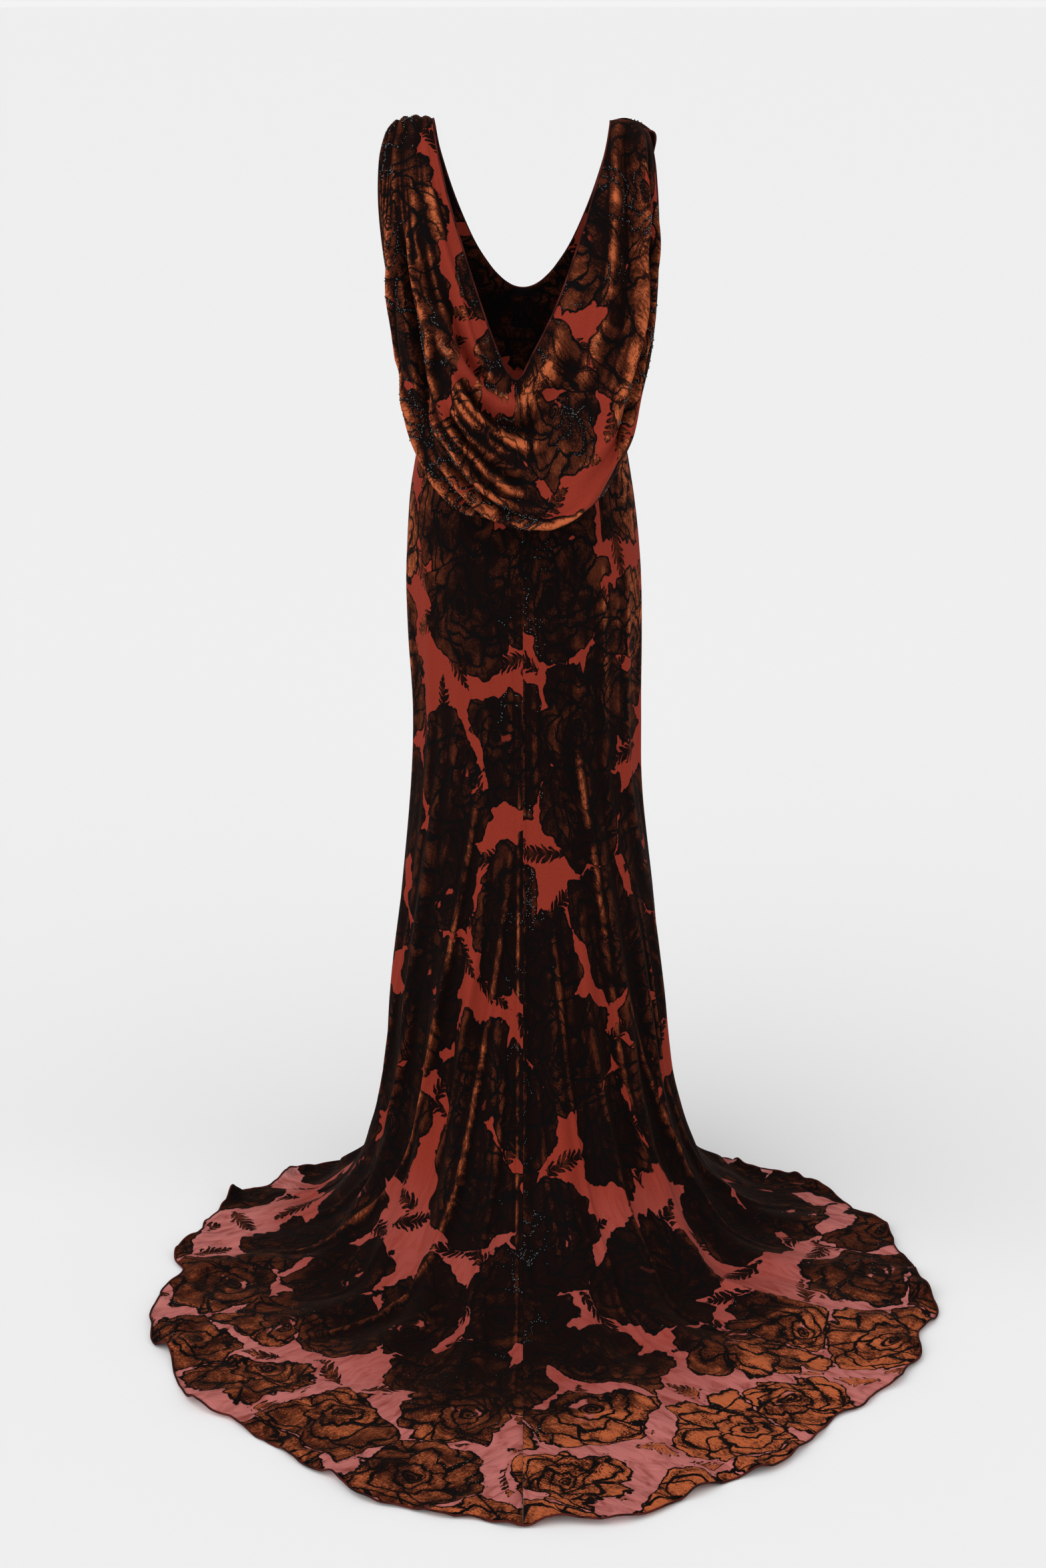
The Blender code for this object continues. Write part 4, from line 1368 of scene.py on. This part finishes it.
def grow_roses(board, place):
    """Depth inside a rose's edge, distance to its nearest petal line, and slits in its heart."""
    moved = wandering(board, place, *ROSE_WANDER)
    x, y, (chance_a, chance_b, chance_c) = own_cell(board, moved, ROSE_STEP, ROSE_SCATTER)
    walls = cells(board, moved, ROSE_STEP, ROSE_SCATTER, "Distance", "DISTANCE_TO_EDGE")
    border = walls * ROSE_STEP
    size = ROSE_RADIUS * (0.84 + 0.32 * chance_a)
    x, y = x / size, y / size
    pull = (1 - radius(x, y)).most(0)
    x = x - pull * (chance_b - 0.5) * 0.9
    y = y - pull * (chance_c - 0.5) * 0.9
    reach = radius(x, y)
    turn = board.maths("ARCTAN2", y, x) + chance_b * FULL_TURN
    scallop = abs((turn * (EDGE_SCALLOPS / 2) + chance_a * 5).cosine())
    edge = 0.80 + 0.16 * abs((turn * (OUTER_PETALS / 2)).cosine()) + 0.055 * scallop
    edge = edge + 0.07 * (turn + chance_c * 9).cosine()
    channel = CHANNEL_WIDTH * noise(board, place, 9.0, 1.6).step(0.44, 0.76)
    depth = ((edge - reach) * size).least(border - channel + CHANNEL_FILL)
    lines = petal_lines(turn, reach, size, edge, border + 0.0006, chance_a)
    coil = board.maths("FRACT", reach * size / HEART_LINE + turn / FULL_TURN)
    heart = (reach - HEART_SHARE).most(0) * size * LINE_END
    lines = lines.least(abs(coil - 0.5) * HEART_LINE + heart)
    sliver = (lines / SLIT_DEPTH).least(1).step(0.52, 0.80) * (1 - reach.step(0.22, 0.30))
    slit = sliver * (turn * 1.5 + chance_c * 7).cosine().step(0.66, 0.86)
    return depth, lines, slit * chance_b.step(0.50, 0.55)


def grow_sprigs(board, place, rose_depth):
    """How far inside a leaf sprig each point lies, in metres."""
    moved = wandering(board, place, *SPRIG_WANDER)
    x, y, (chance, _, _) = own_cell(board, moved, SPRIG_STEP, SPRIG_SCATTER)
    turn = chance * FULL_TURN
    across = board.maths("SINE", turn)
    along = turn.cosine()
    length = x * along + y * across + (chance - 0.5) * 0.5 * radius(x, y)
    width = abs(y * along - x * across)
    taper = (1 - (length / SPRIG_LENGTH) * (length / SPRIG_LENGTH)).most(0)
    leaflet = abs(((length + width * LEAFLET_SWEEP) * (np.pi / LEAFLET_STEP)).cosine()).root()
    leaf = SPRIG_WIDTH * taper * (leaflet - 0.25) + SPRIG_STEM * taper.step(0, 0.2) - width
    return leaf.least((0 - rose_depth) - SPRIG_MARGIN)


# %% [markdown]
# ## The finish of the cloth
#
# Two shaders share the cloth. The velvet has a soft sheen and a raised pile, dark brown with copper
# painted sheen where it glows, and its petals are edged with black. The chiffon between is brick red
# and matt, and lets light through on the train, where the pale floor's light is also painted into
# its colour.

# %% Cut velvet on chiffon
VELVET_DARK = (0.0056, 0.0021, 0.0018, 1)
VELVET_BROWN = (0.064, 0.0136, 0.0054, 1)
# copper is mostly painted sheen where the painted light is high; a little comes from the mottling
VELVET_COPPER_SHEEN = (0.440, 0.103, 0.036, 1)
LINE_BLACK = (0.0030, 0.0022, 0.0024, 1)
CHIFFON_RED = (0.265, 0.030, 0.0155, 1)
CHIFFON_DEEP = (0.205, 0.022, 0.0120, 1)
# pale pink: painted light of the pale floor seen through the sheer chiffon
CHIFFON_PAINTED_FLOOR_LIGHT = (0.600, 0.185, 0.165, 1)
SHEEN_TINT = (0.80, 0.33, 0.14, 1)
SHEER_ALPHA = 0.26
# how far the crests' painted highlight covers the black lines
CREST_OVER_LINES = 0.85
# how much wider the roses are on the upright skirt, and how much smaller on the train, in metres
ROSE_SWELL = 0.0050
TRAIN_GAP = 0.0095
# how far the edges are torn, the pile's grain cuts into them, and the petal lines wiggle, in metres
EDGE_TEAR = 0.010
EDGE_GRAIN = 0.0016
LINE_WIGGLE = 0.0030
# noises on the flat cloth: stretch each way, scale, detail, roughness, distortion
EVEN = (1.0, 1.0, 1.0)
NOISES = {
    "fibre": (EVEN, 900.0, 1.0, 0.5, 0.0),
    "grain": (EVEN, 420.0, 2.0, 0.5, 0.0),
    "weave": (EVEN, 300.0, 2.0, 0.5, 0.0),
    "tear": (EVEN, 80.0, 1.6, 0.5, 0.0),
    "wiggle": (EVEN, 60.0, 1.0, 0.5, 0.0),
    "crush": (EVEN, 26.0, 5.0, 0.68, 0.9),
    "cloud": (EVEN, 15.0, 3.0, 0.6, 0.8),
    "patch": (EVEN, 9.0, 2.0, 0.5, 0.0),
    "streak": ((3.0, 0.9, 1.0), 110.0, 3.0, 0.62, 0.6),
    "gather": ((2.4, 0.8, 1.0), 34.0, 3.0, 0.55, 0.5),
}
# how high the velvet stands and its lines lie, and the marks of crush, fibre, grain and gathers
PILE_HEIGHT = 0.0009
LINE_DEPTH = 0.0005
CRUSH_HEIGHT = 0.0011
FIBRE_HEIGHT = 0.00022
GRAIN_HEIGHT = 0.00018
GATHER_HEIGHT = 0.0050
BUMP_STRENGTH = 0.75
print("noises of the cloth:", ", ".join(NOISES))

# %% [markdown]
# The same few noises serve the shapes, the colour and the relief: a fine fibre and grain, a
# crushed nap, clouds of brushed pile, and gathers of the chiffon. They are made once and handed on
# by name.

# %% Noises and shapes of the cloth


def own_value(board, name):
    """A number kept on the cloth's points."""
    return board.add("ShaderNodeAttribute", {}, "Fac", attribute_name=name)


def new_material(name):
    """An empty material and its board."""
    material = bpy.data.materials.new(name)
    material.use_nodes = True
    material.node_tree.nodes.clear()
    return material, Board(material.node_tree)


def cloth_noises(board, place):
    """The noises of the cloth by name."""
    made = {}
    for name, (stretch_by, *settings) in NOISES.items():
        spot = place if stretch_by == EVEN else board.vectors("MULTIPLY", place, stretch_by)
        made[name] = noise(board, spot, *settings)
    return made


def cut_shapes(board, place, sheer, noises):
    """Where the velvet is, where its black lines are, and how near the petal lines are."""
    depth, lines, slit = grow_roses(board, place)
    sprig = grow_sprigs(board, place, depth)
    rough_edge = (noises["grain"] - 0.5) * EDGE_GRAIN
    depth = depth + (noises["tear"] - 0.5) * EDGE_TEAR + ROSE_SWELL - sheer * TRAIN_GAP
    rose = (depth + rough_edge).step(-0.0004, 0.0006) * (1 - slit)
    leaf = (sprig + rough_edge).step(-0.0003, 0.0005)
    petal_line = 1 - (lines + rough_edge - noises["wiggle"] * LINE_WIGGLE).step(0.0002, 0.0016)
    rim = 1 - (depth + rough_edge * 1.5).step(0.0030, 0.0046)
    leaf_line = leaf * (1 - (sprig + rough_edge).step(0.0014, 0.0028))
    black = (petal_line.most(rim) * rose).most(leaf_line)
    beside = lines + (noises["grain"] - 0.5) * 0.022 + (noises["crush"] - 0.5) * 0.010
    return rose.most(leaf), black, 1 - beside.step(0.001, 0.011)


# %% [markdown]
# The colour of the pile runs from nearly black through brown to copper. Its painted light sets the
# tone: painted sheen, painted highlight on crests and painted shade in valleys. The noises break it
# up more where it is bright, as a brushed nap does.

# %% Colour and relief


def pile_colour(board, painted_light, crest, black, near_line, noises):
    """Dark to copper velvet: lighter where the painted sheen and crest highlight fall, mottled by
    all the noises.
    """
    crush, cloud, patch = (noises[name] - 0.5 for name in ("crush", "cloud", "patch"))
    streak, grain = (noises[name] - 0.5 for name in ("streak", "grain"))
    stippled = noises["patch"].step(0.42, 0.62)
    # painted sheen and shade, mottled by the noises
    sheen_and_nap = painted_light * 1.04 + crush * (0.75 + 1.7 * painted_light) + patch * 0.45
    sheen_and_nap = sheen_and_nap + streak * (0.24 + 1.30 * painted_light) + cloud * (0.50 + 1.25 * painted_light)
    # painted highlight along the crests
    sheen_and_nap = sheen_and_nap + crest * noises["cloud"].step(0.36, 0.56) * (0.75 + 1.2 * streak)
    sheen_and_nap = sheen_and_nap + grain * (0.26 + 0.7 * painted_light) - near_line * (0.10 + 0.50 * painted_light * stippled)
    pile = board.blend(sheen_and_nap.step(-0.04, 0.42), VELVET_DARK, VELVET_BROWN)
    pile = board.blend(sheen_and_nap.step(0.34, 1.22), pile, VELVET_COPPER_SHEEN)
    # the crests' painted highlight covers part of the black lines
    return board.blend(black * (1 - crest * CREST_OVER_LINES), pile, LINE_BLACK)


def cloth_relief(board, velvet, black, sheer, noises):
    """The direction of the raised pile and of the gathered chiffon."""
    height = velvet * PILE_HEIGHT - black * LINE_DEPTH + noises["crush"] * CRUSH_HEIGHT * velvet
    height = height + (noises["fibre"] - 0.5) * FIBRE_HEIGHT
    height = height + (noises["grain"] - 0.5) * GRAIN_HEIGHT
    return board.raised(height + noises["gather"] * sheer * GATHER_HEIGHT, BUMP_STRENGTH)


def cut_velvet(name):
    """The dress's cloth: velvet roses on chiffon, mixed by where the velvet is."""
    material, board = new_material(name)
    place = board.add("ShaderNodeUVMap", {}, uv_map="flat_pattern")
    painted_light, crest, sheer = (own_value(board, key) for key in ("painted_light", "crest", "sheer"))
    noises = cloth_noises(board, place)
    velvet, black, near_line = cut_shapes(board, place, sheer, noises)
    relief = cloth_relief(board, velvet, black, sheer, noises)
    velvet_shader = board.surface({
        "Base Color": pile_colour(board, painted_light, crest, black, near_line, noises),
        "Roughness": 0.85, "Specular IOR Level": 0.04, "Sheen Weight": 0.035,
        "Sheen Roughness": 0.42, "Sheen Tint": SHEEN_TINT, "Normal": relief,
    })
    ground = board.blend(noises["weave"], CHIFFON_DEEP, CHIFFON_RED)
    # painted light of the pale floor through the sheer chiffon, broken up by its gathers
    ground = board.blend(sheer * noises["gather"].step(0.05, 0.64), ground, CHIFFON_PAINTED_FLOOR_LIGHT)
    chiffon_shader = board.surface({
        "Base Color": ground, "Roughness": 0.80, "Specular IOR Level": 0.08,
        "Alpha": 1 - sheer * SHEER_ALPHA, "Normal": relief,
    })
    board.finish(board.add("ShaderNodeMixShader", {0: velvet, 1: chiffon_shader, 2: velvet_shader}))
    print(name, "nodes:", len(material.node_tree.nodes))
    return material


cloth = cut_velvet("cut_velvet_on_chiffon")
for shell in (back_left, back_right, front, cowl, bodice):
    shell.data.materials.clear()
    shell.data.materials.append(cloth)


# %% [markdown]
# ## Rolled edges
#
# The hem, the neck and the armholes end in a narrow rolled hem. It follows a path, so Geometry
# Nodes make it: the edge's points become a curve, and a small ring is drawn along it.

# %% Roll the edges
EDGE_RADIUS = 0.0013
EDGE_STEP = 0.004
EDGE_SIDES = 7
EDGE_DARK = (0.020, 0.005, 0.004, 1)
EDGE_LIGHT = (0.075, 0.012, 0.008, 1)
HEM_POINTS = 900
HEM_ROWS = 200
HEM_EDGE_RISE = 0.0003


def rolled_chiffon(name):
    """Chiffon rolled to a thin cord, with a slight change of colour along it."""
    material, board = new_material(name)
    place = board.add("ShaderNodeTexCoord", {}, "Object")
    change = board.add("ShaderNodeTexNoise", {"Vector": place, "Scale": 35.0, "Detail": 3.0}, "Fac")
    weave = board.add("ShaderNodeTexNoise", {"Vector": place, "Scale": 1400.0}, "Fac")
    board.finish(board.surface({
        "Base Color": board.blend(change.step(0.4, 0.6), EDGE_DARK, EDGE_LIGHT),
        "Roughness": 0.8, "Specular IOR Level": 0.1, "Normal": board.raised(weave * 0.0002, 0.6),
    }))
    return material


# %% [markdown]
# Both trees of the dress have named inputs and end in the same two nodes, because the export needs
# real meshes with a material. The edge tree turns lines of points into a thin tube.

# %% Trees that roll and draw


def making_tree(name, sockets, output):
    """A Geometry Nodes tree with named inputs, its board and its first input."""
    tree = bpy.data.node_groups.new(name, "GeometryNodeTree")
    for key, kind in sockets.items():
        tree.interface.new_socket(key, in_out="INPUT", socket_type="NodeSocket" + kind)
    tree.interface.new_socket(output, in_out="OUTPUT", socket_type="NodeSocketGeometry")
    board = Board(tree)
    return tree, board, board.add("NodeGroupInput", {})


def real_output(board, made, material, output):
    """End a tree: real meshes in one material."""
    whole = board.add("GeometryNodeRealizeInstances", {"Geometry": made})
    done = board.add("GeometryNodeSetMaterial", {"Geometry": whole, "Material": material})
    board.add("NodeGroupOutput", {output: done})


def edge_roller(material):
    """A node group that rolls an edge along every line of its mesh."""
    sockets = {"Lines": "Geometry", "Radius": "Float", "Step": "Float"}
    tree, board, given = making_tree("roll_edge", sockets, "Edges")
    path = board.add("GeometryNodeMeshToCurve", {"Mesh": given})
    even = board.add(
        "GeometryNodeResampleCurve", {"Curve": path, "Length": given.other("Step")}, mode="LENGTH"
    )
    ring = board.add(
        "GeometryNodeCurvePrimitiveCircle",
        {"Resolution": EDGE_SIDES, "Radius": given.other("Radius")},
    )
    tube = board.add("GeometryNodeCurveToMesh", {"Curve": even, "Profile Curve": ring})
    real_output(board, tube, material, "Edges")
    return tree


def add_maker(item, tree, values):
    """A Geometry Nodes modifier with its inputs set by their sockets' identifiers."""
    maker = item.modifiers.new(tree.name, "NODES")
    maker.node_group = tree
    for socket in tree.interface.items_tree:
        if socket.item_type == "SOCKET" and socket.in_out == "INPUT" and socket.name in values:
            maker[socket.identifier] = values[socket.name]


def rolled_edge(name, loops, tree):
    """One piece with a rolled edge along each closed line of points."""
    corners, edges = [], []
    for loop in loops:
        first, count = len(corners), len(loop)
        edges += [(first + k, first + (k + 1) % count) for k in range(count)]
        corners += [tuple(point) for point in from_shoulders(loop)]
    mesh = bpy.data.meshes.new(name + "_lines")
    mesh.from_pydata(corners, edges, [])
    lines = added(name + "_lines", mesh)
    add_maker(lines, tree, {"Radius": EDGE_RADIUS, "Step": EDGE_STEP})
    made = plain_mesh(lines, name)
    made.data.shade_smooth()
    bpy.data.objects.remove(lines)
    return made


# %% [markdown]
# The neck and the armholes run over two panels each, so their lines are joined from both. The hem
# runs round all three skirt panels, and is worked out afresh as one closed line.

# %% Edges of hem, neck and armholes


def edge_stretch(points, sections, first, last):
    """Points of a panel's outer edge between two of its sections."""
    steps = points.shape[1] - 1
    return points[-1][first * steps // sections + (first > 0): last * steps // sections + 1]


COWL_LAST = len(COWL_SECTIONS) - 1
BODICE_LAST = 2 * len(BODICE_SECTIONS)
hem_turns = turned(np.linspace(-180, 180, HEM_POINTS, endpoint=False))
hem_line = skirt_surface(hem_turns, HEM_ROWS)[0][-1]
neck_line = np.concatenate([cowl_points[0], bodice_points[0][1:-1]])
left_arm = np.concatenate([
    edge_stretch(cowl_points, COWL_LAST, 0, 5),
    edge_stretch(bodice_points, BODICE_LAST, 13, BODICE_LAST)[:-1],
])
right_arm = np.concatenate([
    edge_stretch(cowl_points, COWL_LAST, 13, COWL_LAST),
    edge_stretch(bodice_points, BODICE_LAST, 0, 5)[1:],
])
roller = edge_roller(rolled_chiffon("rolled_chiffon"))
hem_edge = rolled_edge("rolled_hem", [hem_line + np.array([0, 0, HEM_EDGE_RISE])], roller)
body_edges = rolled_edge("rolled_neck_and_armholes", [neck_line, left_arm, right_arm], roller)

# %% [markdown]
# ## Beads
#
# Jet beads are sewn along parts of the black lines, mostly on the cowl and beside the centre back
# seam. Geometry Nodes scatter points over a panel, work out the same roses at each point, and keep
# those that lie on a line. Each kept point gets a small faceted bead.

# %% Sew the beads
BEAD_RADIUS = 0.00085
BEADS_PER_AREA = 170000.0
# how far the middle of a bead stands above the cloth, as a share of its radius
BEAD_LIFT = 0.7
BEADED_PANELS = ("cowl", "skirt_back_left", "skirt_back_right", "bodice_front")
FIRST_SEED = 11
# how far inside the rose's edge the outer row of beads runs, and how wide a row is, in metres
BEAD_ROW_DEPTH = 0.0022
BEAD_ROW = (0.0008, 0.0014)


def jet_glass(name):
    """Black glass."""
    material, board = new_material(name)
    board.finish(board.surface({
        "Base Color": (0.012, 0.012, 0.014, 1), "Roughness": 0.10, "Specular IOR Level": 0.9,
        "Coat Weight": 0.6, "Coat Roughness": 0.05,
    }))
    return material


def kept_number(board, name, kind):
    """A value kept on the points of the mesh."""
    return board.add("GeometryNodeInputNamedAttribute", {"Name": name}, "Attribute", data_type=kind)


# %% [markdown]
# A bead costs 20 faces, so many points are scattered and few are kept. Beads sink a little into
# the pile, as sewn beads do.

# %% Sew them on


def bead_sewer(material):
    """A node group that sews beads along the roses' black lines."""
    sockets = {
        "Cloth": "Geometry", "Bead radius": "Float", "Points per area": "Float", "Seed": "Int"
    }
    tree, board, given = making_tree("sew_beads", sockets, "Beads")
    density = kept_number(board, "beads", "FLOAT") * given.other("Points per area")
    points = board.add("GeometryNodeDistributePointsOnFaces", {
        "Mesh": given, "Density": density, "Seed": given.other("Seed"),
    }, "Points", distribute_method="RANDOM")
    place = kept_number(board, "flat_place", "FLOAT_VECTOR")
    depth, lines, _ = grow_roses(board, place)
    on_line = (1 - lines.step(*BEAD_ROW)).most(1 - abs(depth - BEAD_ROW_DEPTH).step(*BEAD_ROW))
    sewn_stretches = noise(board, place, 11.0, 1.0).step(0.555, 0.585)
    kept = on_line * depth.step(0.0, 0.0008) * sewn_stretches
    lift = board.add("ShaderNodeVectorMath", {
        0: points.other("Normal"), "Scale": given.other("Bead radius") * BEAD_LIFT,
    }, operation="SCALE")
    raised = board.add("GeometryNodeSetPosition", {"Geometry": points, "Offset": lift})
    bead = board.add(
        "GeometryNodeMeshIcoSphere", {"Radius": given.other("Bead radius"), "Subdivisions": 1}
    )
    sewn = board.add("GeometryNodeInstanceOnPoints", {
        "Points": raised, "Selection": board.maths("GREATER_THAN", kept, 0.5), "Instance": bead,
        "Rotation": points.other("Rotation"),
    })
    real_output(board, sewn, material, "Beads")
    return tree


sewer = bead_sewer(jet_glass("jet_glass"))
beads = {}
for seed, name in enumerate(BEADED_PANELS, FIRST_SEED):
    inputs = {"Bead radius": BEAD_RADIUS, "Points per area": BEADS_PER_AREA, "Seed": seed}
    add_maker(cloth_faces[name], sewer, inputs)
    beads[name] = plain_mesh(cloth_faces[name], "beads_" + name)
for face in cloth_faces.values():
    bpy.data.objects.remove(face)


# %% [markdown]
# ## Put each piece on the body
#
# Every piece rides on the one body. The five cloth shells stand for the five CAD panels, whose
# parts are hidden, and the pieces sewn on them ride along.

# %% Ride and replace
# CAD panel: the cloth that stands for it, how the cloth is held, and the pieces sewn on it
PANELS = {
    "back_cowl": (cowl, "gathered", [beads["cowl"], body_edges]),
    "front_bodice": (bodice, "hung", [beads["bodice_front"]]),
    "back_skirt_left": (back_left, "hung", [beads["skirt_back_left"], hem_edge]),
    "back_skirt_right": (back_right, "hung", [beads["skirt_back_right"]]),
    "front_skirt": (front, "hung", []),
}
for node, (piece, held, sewn_on) in PANELS.items():
    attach(piece, "root")
    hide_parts(node)
    for extra in sewn_on:
        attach(extra, "root")
    print(node, "is dressed by", piece.name, "with", [extra.name for extra in sewn_on])


# %% [markdown]
# ## The studio
#
# The photograph was taken in front of a white sweep, with large soft lights and a long lens at
# about eye height. The floor is one wide pale plane that fills the frame.

# %% Floor, light and camera
# place from between the shoulders in metres, degrees below level, and the lens in millimetres
CAMERA_PLACE = (0.0, -3.64, 0.140)
CAMERA_TILT = 15.8
LENS = 63.4
SENSOR_WIDTH = 36
# half width of the floor in metres, how fast its squares grow outwards, and how many make a side
FLOOR_SIZE = 4000.0
FLOOR_GROWTH = 5
FLOOR_SQUARES = 8
FLOOR_PALE = (0.91, 0.91, 0.912, 1)
AIR_LOW = (0.90, 0.90, 0.905, 1)
AIR_HIGH = (0.32, 0.32, 0.325, 1)
LIGHT_TARGET = (0, 0, -0.7)
# name: place, strength, and how wide the light is, in degrees
SOFTBOXES = {
    "softbox_left": ((-2.6, -2.4, 3.2), 2.0, 75),
    "softbox_right": ((2.6, -2.8, 2.0), 0.75, 60),
}


def pale(name, colour):
    """A plain matt surface."""
    material, board = new_material(name)
    grain = board.add("ShaderNodeTexNoise", {"Scale": 3.0}, "Fac")
    shade = board.blend(grain, colour, tuple(0.985 * part for part in colour[:3]) + (1,))
    board.finish(board.surface({"Base Color": shade, "Roughness": 0.9}))
    return material


def softbox(name, place, strength, spread):
    """A far, wide and soft light that looks from its place at the dress."""
    data = bpy.data.lights.new(name, "SUN")
    data.energy = strength
    data.angle = np.radians(spread)
    item = added(name, data)
    item.location = place
    way = Vector(LIGHT_TARGET) - Vector(place)
    item.rotation_euler = way.to_track_quat("-Z", "Y").to_euler()


floor_mesh = grid_mesh("studio_floor", FLOOR_SQUARES, FLOOR_SQUARES)
for corner in floor_mesh.vertices:
    x, y = (np.sign(part) * abs(part) ** FLOOR_GROWTH * FLOOR_SIZE for part in corner.co[:2])
    corner.co = (x, y, -SHOULDER_HEIGHT)
floor_mesh.materials.append(pale("pale_floor", FLOOR_PALE))
added("studio_floor", floor_mesh)
for name, (place, strength, spread) in SOFTBOXES.items():
    softbox(name, place, strength, spread)
print("lights:", ", ".join(SOFTBOXES), "floor:", 2 * FLOOR_SIZE, "m wide")

# %% [markdown]
# The air of the studio is paler near the floor than above, which fills the shadows from all sides.
# The camera has a long lens and looks slightly down, so that the train spreads towards it.

# %% Air and camera
world = bpy.data.worlds.new("studio_air")
world.use_nodes = True
sky = Board(world.node_tree)
rise = sky.parts(sky.add("ShaderNodeTexCoord", {}, "Generated"))[2]
tone = sky.blend(rise.step(0.02, 0.45), AIR_LOW, AIR_HIGH)
sky.tree.links.new(tone.socket, world.node_tree.nodes["Background"].inputs["Color"])
bpy.context.scene.world = world
bpy.context.scene.view_settings.view_transform = "Standard"

camera_data = bpy.data.cameras.new("camera")
camera_data.lens = LENS
camera_data.sensor_width = SENSOR_WIDTH
camera = added("camera", camera_data)
camera.location = CAMERA_PLACE
camera.rotation_euler = (np.radians(90 - CAMERA_TILT), 0, 0)
bpy.context.scene.camera = camera
print("camera:", [round(part, 2) for part in camera.location], "lens:", LENS)
